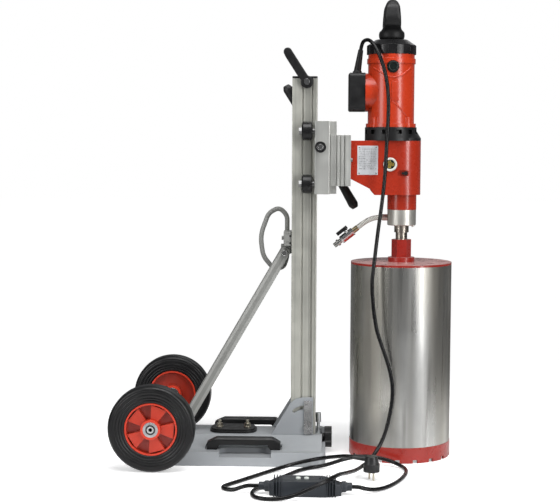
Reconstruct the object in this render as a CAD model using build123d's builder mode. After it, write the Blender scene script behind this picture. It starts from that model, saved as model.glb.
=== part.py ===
"""Core drill rig: a wheeled stand with a tilting column, a rack-fed carriage, a wet drill motor and a core bit.

Frame: X runs forwards from the column to the core bit, Y to the operator's left, Z up from the floor.
The origin is on the underside of the base, below the middle of the column. Everything is in millimetres.
"""

from build123d import *
from math import acos, atan2, ceil, cos, degrees, hypot, pi, radians, sin, sqrt, tan
import os

os.makedirs("parts", exist_ok=True)

# ---------------------------------------------------------------- driving dimensions

RUNNING = 0.05  # radial clearance of a running fit
GAP = 0.3  # clearance between pieces that pass each other

# base casting
BASE_FRONT = 55
BASE_REAR = -372
BASE_WIDTH = 336
BASE_CORNER = 20
SKIRT = 30  # height of the outer wall
WALL_LEAN = 14  # how far the long walls lean in over the skirt's height
DECK = 50  # height of the raised middle
DECK_HALF = 50  # half width of the flat deck
RAMP_HALF = 132  # half width where the slopes meet the flange
RAMP_FRONT = 46
RAMP_REAR = -352
NOTCH_HALF = 31  # front notch for the star knob
NOTCH_BACK = 26
NOTCH_FLOOR = 8
KNOB_AXIS_Z = 35

# carrying handles on the base
HANDLE_Y = 116
HANDLE_MID = -139
HANDLE_SPAN = 174
HANDLE_WIDTH = 26
HANDLE_TOP = 59
HANDLE_BAR = 17
HANDLE_FOOT = 24

# wheels
WHEEL_DIA = 200
WHEEL_WIDTH = 50
RIM_DIA = 121
WHEEL_Y = 219
AXLE_X = -344.8
AXLE_DIA = 15
SLEEVE_DIA = 20
BEARING_DIA = 35
BEARING_WIDTH = 11
SPOKES = 5

# column
COLUMN_X = 60
COLUMN_Y = 80
COLUMN_TOP = 907
COLUMN_FOOT = DECK + GAP
CAP_THICK = 5
GROOVE_REAR_X = -4.5  # the two grooves beside the roller track
GROOVE_FRONT_X = 18
GROOVE_WIDTH = 5
GROOVE_DEPTH = 4
RACK_SLOT = 24.6
RACK_WIDTH = 19.8
TILT_LIMIT = 35  # degrees
PIVOT_X = 8
PIVOT_Z = 68
TILT_RADIUS = 50
BRACKET_THICK = 7
STRIP_THICK = 4
TILT_BOLT = 8

# rack and pinion
RACK_MODULE = 2
PINION_TEETH = 14
FEED_X = 38
FEED_Z = 744.5
FEED_SHAFT = 20

# strut
STRUT_TOP_X = -47.3
STRUT_TOP_Z = 490
STRUT_FOOT_X = -285
STRUT_FOOT_Z = 78
STRUT_SIZE = 26
STRUT_WALL = 4
STRUT_BOLT = 10
LOOP_ROD = 11.5
LOOP_Y = 27

# carriage
CARRIAGE_BOTTOM = 633
CARRIAGE_TOP = 806
CARRIAGE_REAR = 24
CARRIAGE_FRONT = 60
CARRIAGE_HALF = 75
DOVETAIL_FRONT = 76.4
DOVETAIL_HALF = 45
ROLLER_DIA = 45
ROLLER_WIDTH = 25
ROLLER_X = 6.5
ROLLER_HEIGHTS = (657, 782)
ROLLER_BOLT = 10
ROLLER_PLAY = 0.15  # between a roller and the column's face
SPACER_FRONT = 110
SPACER_HALF = 60
SPACER_BOTTOM = 652
SPACER_TOP = 773

# feed handle
FEED_ARM = 163
FEED_BAR = 14
FEED_LEAN = 30
FEED_HANDLE_Y = 100
FEED_GRIP = 95

# drill
SPINDLE_X = 234.8
MOTOR_X = 206.2
HOUSING_BOTTOM = 631
HOUSING_TOP = 760
HOUSING_HALF = 50
HOUSING_WALL = 5
NOSE_X = 229  # centre of the housing's round front
COLLAR_DIA = 70
COLLAR_BOTTOM = 595
SWIVEL_BOTTOM = 557
SPINDLE_DIA = 35
THREAD_DIA = 28
VENT_TOP = 792
MOTOR_DIA = 111
MOTOR_WALL = 5
MOTOR_TOP = 965
CAP_DIA = 118
CAP_TOP = 1000
NECK_DIA = 63
NECK_TOP = 1022
GRIP_TOP = 1094
SWITCH_REAR = 104
SWITCH_FRONT = 143.4
SWITCH_BOTTOM = 829.5
SWITCH_TOP = 921
SWITCH_HALF = 42
BRUSH_DIA = 29
BRUSH_Z = 934.6
SIGHT_X = 203.3
SIGHT_Z = 704
SIGHT_DIA = 33
KNOB_X = 241
KNOB_Z = 683

# gear train: rotor pinion to layshaft wheel, layshaft pinion to spindle wheel
FIRST_MODULE = 1.25
ROTOR_TEETH = 9
WHEEL_TEETH = 39
SECOND_MODULE = 1.75
LAY_TEETH = 12
SPINDLE_TEETH = 42

# core bit
CORE_DIA = 243
CORE_WALL = 3.5
CORE_TOP = 464
CROWN_TOP = 37
CROWN_SEGMENTS = 18
HEX_FLATS = 41
HEX_TOP = 523
HEX_BOTTOM = 480
BIT_FLANGE_DIA = 64

# water line
HOSE_DIA = 12.5

# cords
CORD_DIA = 9
SAFETY_BOX_X = (-66, 89)
SAFETY_BOX_Y = (-436, -378)
SAFETY_BOX_HEIGHT = 34
GLAND_Z = 17
GLAND_LENGTH = 23
PLUG_DIA = 37
PIN_DIA = 4.8
PIN_LENGTH = 19
PLUG_AT = (158, -277)

# ---------------------------------------------------------------- helpers


def save(piece, name):
    """Label a finished piece and write it as its own STEP file."""
    piece.label = name
    export_step(piece, f"parts/{name}.step")


def save_group(pieces, name):
    """Write pieces that are fastened together for life as separate solids of one node."""
    save(Compound(children=[piece.part for piece in pieces]), name)


def plane_at(point, direction):
    """A plane at a point whose normal is the given direction."""
    return Plane(origin=point, z_dir=direction)


PRESSURE = radians(20)


def gear_outline(module, teeth, addendum, dedendum, thinning, turn):
    """Corner points of a spur gear with involute flanks; one tooth points along the angle turn, in degrees."""
    pitch = module * teeth / 2
    base = pitch * cos(PRESSURE)
    tip = pitch + addendum
    root = pitch - dedendum
    involute = tan(PRESSURE) - PRESSURE

    def half_angle(radius):
        lean = acos(base / radius) if radius > base else 0
        return pi / (2 * teeth) - thinning / (2 * pitch) + involute - (tan(lean) - lean)

    start = max(base, root)
    radii = [root, start] if start > root + 0.01 else [root]
    radii += [start + (tip - start) * k / 3 for k in (1, 2, 3)]
    points = []
    for tooth in range(teeth):
        middle = radians(turn) + 2 * pi * tooth / teeth
        rising = [(r, middle - half_angle(r)) for r in radii]
        falling = [(r, middle + half_angle(r)) for r in reversed(radii)]
        points += [(r * cos(a), r * sin(a)) for r, a in rising + falling]
    return points


def cord_path(points, share=0.45):
    """Corner radii for a cord: each arc takes the same share of the shorter run beside its corner."""
    runs = [Vector(*b) - Vector(*a) for a, b in zip(points, points[1:])]
    radii = []
    for before, after in zip(runs, runs[1:]):
        turn = radians(before.get_angle(after))
        radii.append(share * min(before.length, after.length) / tan(turn / 2))
    return radii


def report_cord(name, radii, tube, diameter):
    """Print a cord's tightest arc and compare its volume with section times length."""
    length = tube.volume / (pi * diameter**2 / 4)
    print(f"{name}: arcs {min(radii):.0f} mm and up, length by volume {length:.0f} mm")
    print("   radii", [round(r) for r in radii])


# ---------------------------------------------------------------- base casting

base_mid = (BASE_FRONT + BASE_REAR) / 2
base_length = BASE_FRONT - BASE_REAR
handle_ends = (HANDLE_MID - HANDLE_SPAN / 2, HANDLE_MID + HANDLE_SPAN / 2)
AXLE_BRACKET_Y = 101
AXLE_BRACKET_THICK = 10
STRUT_CHEEK_Y = STRUT_SIZE / 2 + GAP
STRUT_CHEEK_THICK = 6
SLOT_BOLTS_X = (-205, -137)

with BuildPart() as base_casting:
    # leaning skirt
    with BuildSketch(Plane.XY):
        with Locations((base_mid, 0)):
            RectangleRounded(base_length, BASE_WIDTH, BASE_CORNER)
    with BuildSketch(Plane.XY.offset(SKIRT)):
        with Locations((base_mid, 0)):
            RectangleRounded(base_length - 2, BASE_WIDTH - 2 * WALL_LEAN, BASE_CORNER - 3)
    loft()
    # slopes up to the deck
    with BuildSketch(Plane.YZ.offset(RAMP_REAR)):
        with BuildLine():
            Polyline(
                (-RAMP_HALF, SKIRT),
                (-DECK_HALF, DECK),
                (DECK_HALF, DECK),
                (RAMP_HALF, SKIRT),
                close=True,
            )
        make_face()
    extrude(amount=RAMP_FRONT - RAMP_REAR)
    # seats for the handles and the axle brackets, level with the flange
    with BuildSketch(Plane.XY.offset(SKIRT)):
        with Locations((HANDLE_MID, HANDLE_Y), (HANDLE_MID, -HANDLE_Y)):
            Rectangle(HANDLE_SPAN + 8, HANDLE_WIDTH + 8)
        with Locations((AXLE_X + 8, AXLE_BRACKET_Y), (AXLE_X + 8, -AXLE_BRACKET_Y)):
            Rectangle(84, AXLE_BRACKET_THICK + 6)
    extrude(amount=DECK, mode=Mode.SUBTRACT)
    # finger room under the handles
    with BuildSketch(Plane.XY.offset(SKIRT - 11)):
        with Locations((HANDLE_MID + 5, BASE_WIDTH / 2 - 22), (HANDLE_MID + 5, 22 - BASE_WIDTH / 2)):
            RectangleRounded(HANDLE_SPAN - 2 * HANDLE_FOOT - 4, 84, 16)
    extrude(amount=DECK, mode=Mode.SUBTRACT)
    # hollow underside behind the column
    with BuildSketch(Plane.XY):
        with Locations((-215, 0)):
            RectangleRounded(270, 180, 12)
    extrude(amount=SKIRT - 12, mode=Mode.SUBTRACT)
    # notch for the star knob
    with BuildSketch(Plane.XY.offset(NOTCH_FLOOR)):
        with Locations(((NOTCH_BACK + BASE_FRONT + 10) / 2, 0)):
            Rectangle(BASE_FRONT + 10 - NOTCH_BACK, 2 * NOTCH_HALF)
    extrude(amount=DECK, mode=Mode.SUBTRACT)
    # threaded holes for the slot bolts
    with Locations(*[(x, 0, DECK) for x in SLOT_BOLTS_X]):
        Hole(4, depth=20)
    # stud hole of the star knob
    with Locations(plane_at((NOTCH_BACK, 0, KNOB_AXIS_Z), (1, 0, 0))):
        Hole(5 + RUNNING, depth=22)
save(base_casting.part, "base_casting")

# ---------------------------------------------------------------- carrying handles

with BuildPart() as base_handles:
    for side in (-1, 1):
        with BuildSketch(Plane.XZ.offset(-side * HANDLE_Y - HANDLE_WIDTH / 2)):
            with BuildLine():
                Polyline(
                    (handle_ends[0], SKIRT),
                    (handle_ends[0], SKIRT + 17),
                    (handle_ends[0] + 24, HANDLE_TOP),
                    (handle_ends[1] - 20, HANDLE_TOP),
                    (handle_ends[1], SKIRT + 17),
                    (handle_ends[1], SKIRT),
                    (handle_ends[1] - HANDLE_FOOT, SKIRT),
                    (handle_ends[1] - HANDLE_FOOT - 6, HANDLE_TOP - HANDLE_BAR),
                    (handle_ends[0] + HANDLE_FOOT + 6, HANDLE_TOP - HANDLE_BAR),
                    (handle_ends[0] + HANDLE_FOOT, SKIRT),
                    close=True,
                )
            make_face()
        extrude(amount=HANDLE_WIDTH)
    top_edges = base_handles.faces().filter_by(Plane.XY).group_by(Axis.Z)[-1].edges().filter_by(Axis.X)
    chamfer(top_edges, 5)
save(base_handles.part, "base_handles")

# ---------------------------------------------------------------- slot cover and bolts

COVER_LENGTH = 114
COVER_WIDTH = 78
COVER_THICK = 9
cover_mid = sum(SLOT_BOLTS_X) / 2

with BuildPart() as slot_cover:
    with BuildSketch(Plane.XY.offset(DECK)):
        with Locations((cover_mid, 0)):
            RectangleRounded(COVER_LENGTH, COVER_WIDTH, 30)
    extrude(amount=COVER_THICK - 4)
    with BuildSketch(Plane.XY.offset(DECK)):
        with Locations((cover_mid, 0)):
            RectangleRounded(COVER_LENGTH - 8, COVER_WIDTH - 8, 26)
    extrude(amount=COVER_THICK)
    with Locations(*[(x, 0, DECK + COVER_THICK) for x in SLOT_BOLTS_X]):
        Hole(4 + RUNNING)
save(slot_cover.part, "slot_cover")

with BuildPart() as base_bolts:
    for x in SLOT_BOLTS_X:
        with BuildSketch(Plane.XY.offset(DECK - 18)):
            with Locations((x, 0)):
                Circle(4)
        extrude(amount=44)
        with BuildSketch(Plane.XY.offset(DECK + COVER_THICK)):
            with Locations((x, 0)):
                Circle(9)
        extrude(amount=2)
        with BuildSketch(Plane.XY.offset(DECK + COVER_THICK + 2)):
            with Locations((x, 0)):
                RegularPolygon(6.5, 6, major_radius=False)
        extrude(amount=7)
save(base_bolts.part, "base_bolts")

# ---------------------------------------------------------------- foot brackets of the column

BRACKET_Y = COLUMN_Y / 2 + 0.4
BRACKET_TOP = 141

with BuildPart() as foot_brackets:
    for side in (-1, 1):
        outer = BRACKET_Y + BRACKET_THICK if side < 0 else -BRACKET_Y
        with BuildSketch(Plane.XZ.offset(outer)):
            with BuildLine():
                Polyline(
                    (-77, DECK),
                    (-30, 128),
                    (-17, 138),
                    (0, BRACKET_TOP),
                    (24, BRACKET_TOP),
                    (24, DECK),
                    close=True,
                )
            make_face()
            with Locations((PIVOT_X, PIVOT_Z)):
                Circle(TILT_BOLT / 2 + RUNNING, mode=Mode.SUBTRACT)
            with BuildLine():
                arc = CenterArc((PIVOT_X, PIVOT_Z), TILT_RADIUS, 89, TILT_LIMIT + 2)
            SlotArc(arc, TILT_BOLT + 0.8, mode=Mode.SUBTRACT)
        extrude(amount=-BRACKET_THICK)
save(foot_brackets.part, "foot_brackets")

# ---------------------------------------------------------------- axle, its brackets and the strut's lug

with BuildPart() as axle:
    with BuildSketch(Plane.XZ.offset(-(WHEEL_Y + WHEEL_WIDTH / 2 - 1))):
        with Locations((AXLE_X, WHEEL_DIA / 2)):
            Circle(AXLE_DIA / 2)
    extrude(amount=2 * (WHEEL_Y + WHEEL_WIDTH / 2 - 1))
    sleeve_half = WHEEL_Y - WHEEL_WIDTH / 2 - 0.2
    with BuildSketch(Plane.XZ.offset(-sleeve_half)):
        with Locations((AXLE_X, WHEEL_DIA / 2)):
            Circle(SLEEVE_DIA / 2)
    extrude(amount=2 * sleeve_half)
    ends = axle.faces().filter_by(Plane.XZ).sort_by(Axis.Y)
    for face in (ends[0], ends[-1]):
        with Locations(Plane(face)):
            Hole(3.2, depth=18)
save(axle.part, "axle")

with BuildPart() as wheel_bearings:
    for side in (-1, 1):
        for depth in (0, WHEEL_WIDTH - BEARING_WIDTH):
            near = side * (WHEEL_Y - WHEEL_WIDTH / 2 + depth + BEARING_WIDTH / 2)
            with BuildSketch(Plane.XZ.offset(-near - BEARING_WIDTH / 2)):
                with Locations((AXLE_X, WHEEL_DIA / 2)):
                    Circle(BEARING_DIA / 2)
                    Circle(AXLE_DIA / 2, mode=Mode.SUBTRACT)
            extrude(amount=BEARING_WIDTH)
save(wheel_bearings.part, "wheel_bearings")

with BuildPart() as base_brackets:
    for side in (-1, 1):
        with BuildSketch(Plane.XZ.offset(-side * AXLE_BRACKET_Y - AXLE_BRACKET_THICK / 2)):
            with BuildLine():
                Polyline(
                    (AXLE_X - 24, SKIRT),
                    (AXLE_X - 16, 108),
                    (AXLE_X - 8, 118),
                    (AXLE_X + 8, 118),
                    (AXLE_X + 16, 108),
                    (AXLE_X + 42, SKIRT),
                    close=True,
                )
            make_face()
            with Locations((AXLE_X, WHEEL_DIA / 2)):
                Circle(SLEEVE_DIA / 2, mode=Mode.SUBTRACT)
        extrude(amount=AXLE_BRACKET_THICK)
        lug_start = -side * (STRUT_CHEEK_Y + STRUT_CHEEK_THICK / 2) - STRUT_CHEEK_THICK / 2
        with BuildSketch(Plane.XZ.offset(lug_start)):
            with BuildLine():
                Polyline(
                    (STRUT_FOOT_X - 22, DECK),
                    (STRUT_FOOT_X - 12, STRUT_FOOT_Z + 8),
                    (STRUT_FOOT_X - 6, STRUT_FOOT_Z + 14),
                    (STRUT_FOOT_X + 6, STRUT_FOOT_Z + 14),
                    (STRUT_FOOT_X + 12, STRUT_FOOT_Z + 8),
                    (STRUT_FOOT_X + 22, DECK),
                    close=True,
                )
            make_face()
            with Locations((STRUT_FOOT_X, STRUT_FOOT_Z)):
                Circle(STRUT_BOLT / 2, mode=Mode.SUBTRACT)
        extrude(amount=STRUT_CHEEK_THICK)
    # the pin between the two cheeks, with a head at each end
    pin_half = STRUT_CHEEK_Y + STRUT_CHEEK_THICK
    with BuildSketch(Plane.XZ.offset(-pin_half)):
        with Locations((STRUT_FOOT_X, STRUT_FOOT_Z)):
            Circle(STRUT_BOLT / 2)
    extrude(amount=2 * pin_half)
    for side in (-1, 1):
        with BuildSketch(Plane.XZ.offset(side * pin_half)):
            with Locations((STRUT_FOOT_X, STRUT_FOOT_Z)):
                Circle(8)
        extrude(amount=side * 5)
save(base_brackets.part, "base_brackets")

# ---------------------------------------------------------------- column lock at the front of the base

LOCK_X = (NOTCH_BACK + 0.5, 42.5)
LOCK_TOP = 47
LOCK_SCREW_X = 37

with BuildPart() as column_lock:
    with BuildSketch(Plane.XY.offset(NOTCH_FLOOR)):
        with Locations((sum(LOCK_X) / 2, 0)):
            Rectangle(LOCK_X[1] - LOCK_X[0], 28)
    extrude(amount=LOCK_TOP - NOTCH_FLOOR)
    with Locations(plane_at((LOCK_X[1], 0, KNOB_AXIS_Z), (1, 0, 0))):
        Hole(5 + GAP)
    with BuildSketch(Plane.XY.offset(LOCK_TOP)):
        with Locations((LOCK_SCREW_X, 0)):
            Circle(6.5)
    extrude(amount=3)
    with BuildSketch(Plane.XY.offset(LOCK_TOP)):
        with Locations((LOCK_SCREW_X, 0)):
            Circle(4)
    extrude(amount=27)
    with BuildSketch(Plane.XY.offset(LOCK_TOP + 26)):
        with Locations((LOCK_SCREW_X, 0)):
            Circle(6.6)
    extrude(amount=23)
save(column_lock.part, "column_lock")

KNOB_DIA = 54
KNOB_X0 = 44
KNOB_X1 = 70

with BuildPart() as star_knob:
    with BuildSketch(Plane.YZ.offset(KNOB_X0 + 8)):
        with Locations((0, KNOB_AXIS_Z)):
            Circle(KNOB_DIA / 2 - 7)
            with PolarLocations(KNOB_DIA / 2 - 8, 5):
                Circle(8)
    extrude(amount=KNOB_X1 - KNOB_X0 - 8)
    with BuildSketch(Plane.YZ.offset(KNOB_X0)):
        with Locations((0, KNOB_AXIS_Z)):
            Circle(10)
    extrude(amount=12)
    with BuildSketch(Plane.YZ.offset(NOTCH_BACK - 20)):
        with Locations((0, KNOB_AXIS_Z)):
            Circle(5)
    extrude(amount=KNOB_X0 - NOTCH_BACK + 22)
save(star_knob.part, "star_knob")

# ---------------------------------------------------------------- wheels

HUB_DIA = 46
WEB_THICK = 10
wedge_end = RIM_DIA / 2 - 7.5


def wheel_plane(side):
    """Plane of a wheel's middle, with its normal pointing outwards."""
    return Plane(origin=(AXLE_X, side * WHEEL_Y, WHEEL_DIA / 2), x_dir=(1, 0, 0), z_dir=(0, side, 0))


for side, name in ((-1, "right"), (1, "left")):
    middle = wheel_plane(side)
    section = Plane(origin=middle.origin, x_dir=(1, 0, 0), z_dir=(0, 0, 1))
    half = WHEEL_WIDTH / 2
    with BuildPart() as tyre:
        with BuildSketch(section):
            with BuildLine():
                Polyline(
                    (RIM_DIA / 2, -half + 5),
                    (RIM_DIA / 2 + 4, -half + 1),
                    (WHEEL_DIA / 2 - 16, -half),
                    (WHEEL_DIA / 2 - 5, -half + 5),
                    (WHEEL_DIA / 2 - 1, -half + 13),
                    (WHEEL_DIA / 2, 0),
                    (WHEEL_DIA / 2 - 1, half - 13),
                    (WHEEL_DIA / 2 - 5, half - 5),
                    (WHEEL_DIA / 2 - 16, half),
                    (RIM_DIA / 2 + 4, half - 1),
                    (RIM_DIA / 2, half - 5),
                    close=True,
                )
            make_face()
        revolve(axis=Axis(middle.origin, (0, 1, 0)))
    save(tyre.part, f"wheel_{name}_tyre")
    with BuildPart() as rim:
        # barrel, web and hub
        with BuildSketch(middle.offset(-half + 5)):
            Circle(RIM_DIA / 2)
            Circle(RIM_DIA / 2 - 4, mode=Mode.SUBTRACT)
        extrude(amount=WHEEL_WIDTH - 10)
        with BuildSketch(middle.offset(-WEB_THICK / 2)):
            Circle(RIM_DIA / 2 - 2)
        extrude(amount=WEB_THICK)
        # raised wedges on the outer side, with the pockets left between them
        with BuildSketch(middle.offset(WEB_THICK / 2 - 1)):
            with PolarLocations(0, SPOKES, start_angle=-3):
                Polygon((16, -7), (wedge_end, -19), (wedge_end, 19), (16, 7), align=None)
        extrude(amount=12)
        with BuildSketch(middle.offset(-half)):
            Circle(HUB_DIA / 2)
        extrude(amount=WHEEL_WIDTH)
        with BuildSketch(middle.offset(-half)):
            Circle(BEARING_DIA / 2 + RUNNING)
        extrude(amount=WHEEL_WIDTH, mode=Mode.SUBTRACT)
    save(rim.part, f"wheel_{name}_rim")

# ---------------------------------------------------------------- column

column_rear = -COLUMN_X / 2
column_front = COLUMN_X / 2
MITRE = TILT_LIMIT + 1
slot_back = column_front - 15

with BuildPart() as column:
    with BuildSketch(Plane.XY.offset(COLUMN_FOOT)):
        RectangleRounded(COLUMN_X, COLUMN_Y, 2)
        # front slot for the rack
        with Locations(((slot_back + column_front) / 2, 0)):
            Rectangle(column_front - slot_back, RACK_SLOT, mode=Mode.SUBTRACT)
        # grooves beside the roller tracks
        for x in (GROOVE_REAR_X, GROOVE_FRONT_X):
            with Locations((x, COLUMN_Y / 2), (x, -COLUMN_Y / 2)):
                Rectangle(GROOVE_WIDTH, 2 * GROOVE_DEPTH, mode=Mode.SUBTRACT)
        # clamping slot in the rear face
        with Locations((column_rear + 3, 0)):
            Rectangle(6, 12, mode=Mode.SUBTRACT)
        with Locations((column_rear + 9, 0)):
            Rectangle(7, 24, mode=Mode.SUBTRACT)
        # hollow core
        with Locations(((slot_back + column_rear) / 2 + 4, 0)):
            RectangleRounded(14, 60, 3, mode=Mode.SUBTRACT)
    extrude(amount=COLUMN_TOP - COLUMN_FOOT)
    # foot cut away so that it clears the deck when the column leans back
    with BuildSketch(Plane.XZ.offset(-COLUMN_Y)):
        with BuildLine():
            Polyline(
                (column_front - 4, COLUMN_FOOT - 1),
                (column_rear - 1, COLUMN_FOOT + (COLUMN_X - 3) * tan(radians(MITRE))),
                (column_rear - 1, COLUMN_FOOT - 1),
                close=True,
            )
        make_face()
    extrude(amount=2 * COLUMN_Y, mode=Mode.SUBTRACT)
    # cross holes for the pivot and clamp bolts
    for z in (PIVOT_Z, PIVOT_Z + TILT_RADIUS):
        with Locations(plane_at((PIVOT_X, -COLUMN_Y / 2, z), (0, -1, 0))):
            Hole(TILT_BOLT / 2)
    # cross hole of the top handle's screws
    with Locations(plane_at((4.9, -COLUMN_Y / 2, 898), (0, -1, 0))):
        Hole(4)
save(column.part, "column")

with BuildPart() as column_cap:
    with BuildSketch(Plane.XY.offset(COLUMN_TOP)):
        RectangleRounded(COLUMN_X, COLUMN_Y, 3)
    extrude(amount=CAP_THICK)
    chamfer(column_cap.faces().sort_by(Axis.Z)[-1].edges(), 1)
save(column_cap.part, "column_cap")

# rack: the pitch line lies one pinion radius behind the feed shaft
pinion_radius = RACK_MODULE * PINION_TEETH / 2
rack_pitch_x = FEED_X - pinion_radius
rack_step = pi * RACK_MODULE
RACK_ADDENDUM = 1.5
RACK_DEDENDUM = 2.5
RACK_PLAY = 0.3
RACK_BOTTOM = 108
RACK_TOP = 904

with BuildPart() as rack:
    first_gap = ceil((RACK_BOTTOM + 3 - FEED_Z) / rack_step)
    last_gap = int((RACK_TOP - 3 - FEED_Z) / rack_step)
    teeth_line = []
    for gap in range(first_gap, last_gap + 1):
        centre = FEED_Z + gap * rack_step
        half_pitch = rack_step / 4 + RACK_PLAY / 2
        at_root = half_pitch - RACK_DEDENDUM * tan(PRESSURE)
        at_tip = half_pitch + RACK_ADDENDUM * tan(PRESSURE)
        teeth_line += [
            (rack_pitch_x + RACK_ADDENDUM, centre - at_tip),
            (rack_pitch_x - RACK_DEDENDUM, centre - at_root),
            (rack_pitch_x - RACK_DEDENDUM, centre + at_root),
            (rack_pitch_x + RACK_ADDENDUM, centre + at_tip),
        ]
    with BuildSketch(Plane.XZ.offset(-RACK_WIDTH / 2)):
        with BuildLine():
            Polyline(
                (slot_back, RACK_BOTTOM),
                (rack_pitch_x + RACK_ADDENDUM, RACK_BOTTOM),
                *teeth_line,
                (rack_pitch_x + RACK_ADDENDUM, RACK_TOP),
                (slot_back, RACK_TOP),
                close=True,
            )
        make_face()
    extrude(amount=RACK_WIDTH)
save(rack.part, "rack")

strip_inner = BRACKET_Y + BRACKET_THICK + 0.1

with BuildPart() as tilt_strips:
    for side in (-1, 1):
        with BuildSketch(Plane.XZ.offset(side * strip_inner)):
            with Locations((PIVOT_X + 4, PIVOT_Z + TILT_RADIUS / 2)):
                RectangleRounded(19, 82, 3)
            with Locations((PIVOT_X, PIVOT_Z), (PIVOT_X, PIVOT_Z + TILT_RADIUS)):
                Circle(TILT_BOLT / 2, mode=Mode.SUBTRACT)
        extrude(amount=side * STRIP_THICK)

HANDLE_PIVOT_X = 4.9
HANDLE_PIVOT_Z = 898
HANDLE_BOSS = 11
bail_inner = COLUMN_Y / 2 + GAP

with BuildPart() as column_bolts:
    for side in (-1, 1):
        for z in (PIVOT_Z, PIVOT_Z + TILT_RADIUS):
            with BuildSketch(Plane.XZ.offset(side * (COLUMN_Y / 2 - 9))):
                with Locations((PIVOT_X, z)):
                    Circle(TILT_BOLT / 2)
            extrude(amount=side * (strip_inner + STRIP_THICK - COLUMN_Y / 2 + 9))
            with BuildSketch(Plane.XZ.offset(side * (strip_inner + STRIP_THICK))):
                with Locations((PIVOT_X, z)):
                    Circle(6.5)
            extrude(amount=side * 5)
        with BuildSketch(Plane.XZ.offset(side * (COLUMN_Y / 2 - 9))):
            with Locations((HANDLE_PIVOT_X, HANDLE_PIVOT_Z)):
                Circle(4)
        extrude(amount=side * (HANDLE_BOSS + GAP + 9))
        with BuildSketch(Plane.XZ.offset(side * (bail_inner + HANDLE_BOSS))):
            with Locations((HANDLE_PIVOT_X, HANDLE_PIVOT_Z)):
                Circle(7)
        extrude(amount=side * 4)
save_group((tilt_strips, column_bolts), "column_bolts")

# ---------------------------------------------------------------- top handle: a bail on the head of the column

HANDLE_TIP_X = -41
HANDLE_TIP_Z = 969
handle_reach = hypot(HANDLE_TIP_X - HANDLE_PIVOT_X, HANDLE_TIP_Z - HANDLE_PIVOT_Z)
handle_angle = degrees(atan2(HANDLE_TIP_Z - HANDLE_PIVOT_Z, HANDLE_TIP_X - HANDLE_PIVOT_X))

with BuildPart() as top_handle:
    for side in (-1, 1):
        with BuildSketch(Plane.XZ.offset(side * bail_inner)):
            with Locations((HANDLE_PIVOT_X, HANDLE_PIVOT_Z)):
                Circle(15)
            with Locations(Location((HANDLE_PIVOT_X, HANDLE_PIVOT_Z), handle_angle)):
                with Locations((handle_reach / 2, 0)):
                    SlotCenterToCenter(handle_reach, 20)
            with Locations((HANDLE_PIVOT_X, HANDLE_PIVOT_Z)):
                Circle(4 + RUNNING, mode=Mode.SUBTRACT)
        extrude(amount=side * HANDLE_BOSS)
    with BuildSketch(Plane.XZ.offset(-bail_inner - 1)):
        with Locations((HANDLE_TIP_X, HANDLE_TIP_Z)):
            Circle(10)
    extrude(amount=2 * bail_inner + 2)
save(top_handle.part, "top_handle")

# ---------------------------------------------------------------- strut, its sliding clamp and the loop handle

CLAMP_BOTTOM = 507.5
CLAMP_TOP = 541
CLAMP_HALF = 34
LUG_HALF = STRUT_SIZE / 2 - STRUT_WALL - 0.4
loop_x = STRUT_TOP_X + 5
clamp_front = column_rear - GAP

with BuildPart() as strut_clamp:
    with BuildSketch(Plane.XY.offset(CLAMP_BOTTOM)):
        with Locations((clamp_front - 9.5, 0)):
            RectangleRounded(19, 2 * CLAMP_HALF, 2)
    extrude(amount=CLAMP_TOP - CLAMP_BOTTOM)
    with BuildSketch(Plane.XZ.offset(-LUG_HALF)):
        with BuildLine():
            Polyline(
                (clamp_front, CLAMP_BOTTOM + 2),
                (clamp_front, CLAMP_BOTTOM - 20),
                (STRUT_TOP_X - 4, STRUT_TOP_Z - 10),
                (STRUT_TOP_X - 9, STRUT_TOP_Z - 4),
                (STRUT_TOP_X - 9, CLAMP_BOTTOM + 2),
                close=True,
            )
        make_face()
    extrude(amount=2 * LUG_HALF)
    # tongue that runs in the column's rear slot
    with BuildSketch(Plane.XY.offset(CLAMP_BOTTOM)):
        with Locations((column_rear + 3.5, 0)):
            Rectangle(9, 11.2)
        with Locations((column_rear + 9, 0)):
            Rectangle(6, 23)
    extrude(amount=CLAMP_TOP - CLAMP_BOTTOM)
    # two cross holes that hold the dark set screws, and the socket of the loop handle
    for z in (CLAMP_BOTTOM + 8, CLAMP_BOTTOM + 28):
        with Locations(plane_at((clamp_front - 9.5, -CLAMP_HALF, z), (0, -1, 0))):
            Hole(3, depth=20)
    for z, direction in ((CLAMP_TOP, 1), (CLAMP_BOTTOM, -1)):
        with Locations(plane_at((loop_x, LOOP_Y, z), (0, 0, direction))):
            Hole(LOOP_ROD / 2, depth=12)

with BuildPart() as clamp_screws:
    for z in (CLAMP_BOTTOM + 8, CLAMP_BOTTOM + 28):
        with BuildSketch(Plane.XZ.offset(CLAMP_HALF - 18)):
            with Locations((clamp_front - 9.5, z)):
                Circle(3)
        extrude(amount=17)
    with BuildSketch(Plane.YZ.offset(clamp_front - 19)):
        with Locations((-18, CLAMP_BOTTOM + 18)):
            Circle(5)
    extrude(amount=-5)
save_group((strut_clamp, clamp_screws), "strut_clamp")

loop_points = [
    (loop_x, LOOP_Y, CLAMP_TOP - 11),
    (loop_x, LOOP_Y, 578),
    (-62, LOOP_Y, 597),
    (-88, LOOP_Y, 583),
    (-108, LOOP_Y, 528),
    (-101, LOOP_Y, 477),
    (-78, LOOP_Y, 450),
    (-52, LOOP_Y, 448),
    (loop_x, LOOP_Y, 474),
    (loop_x, LOOP_Y, CLAMP_BOTTOM + 11),
]
with BuildPart() as loop_handle:
    with BuildLine():
        FilletPolyline(*loop_points, radius=cord_path(loop_points, 0.42))
    with BuildSketch(plane_at(loop_points[0], (0, 0, 1))):
        Circle(LOOP_ROD / 2)
    sweep()
save(loop_handle.part, "loop_handle")

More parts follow.
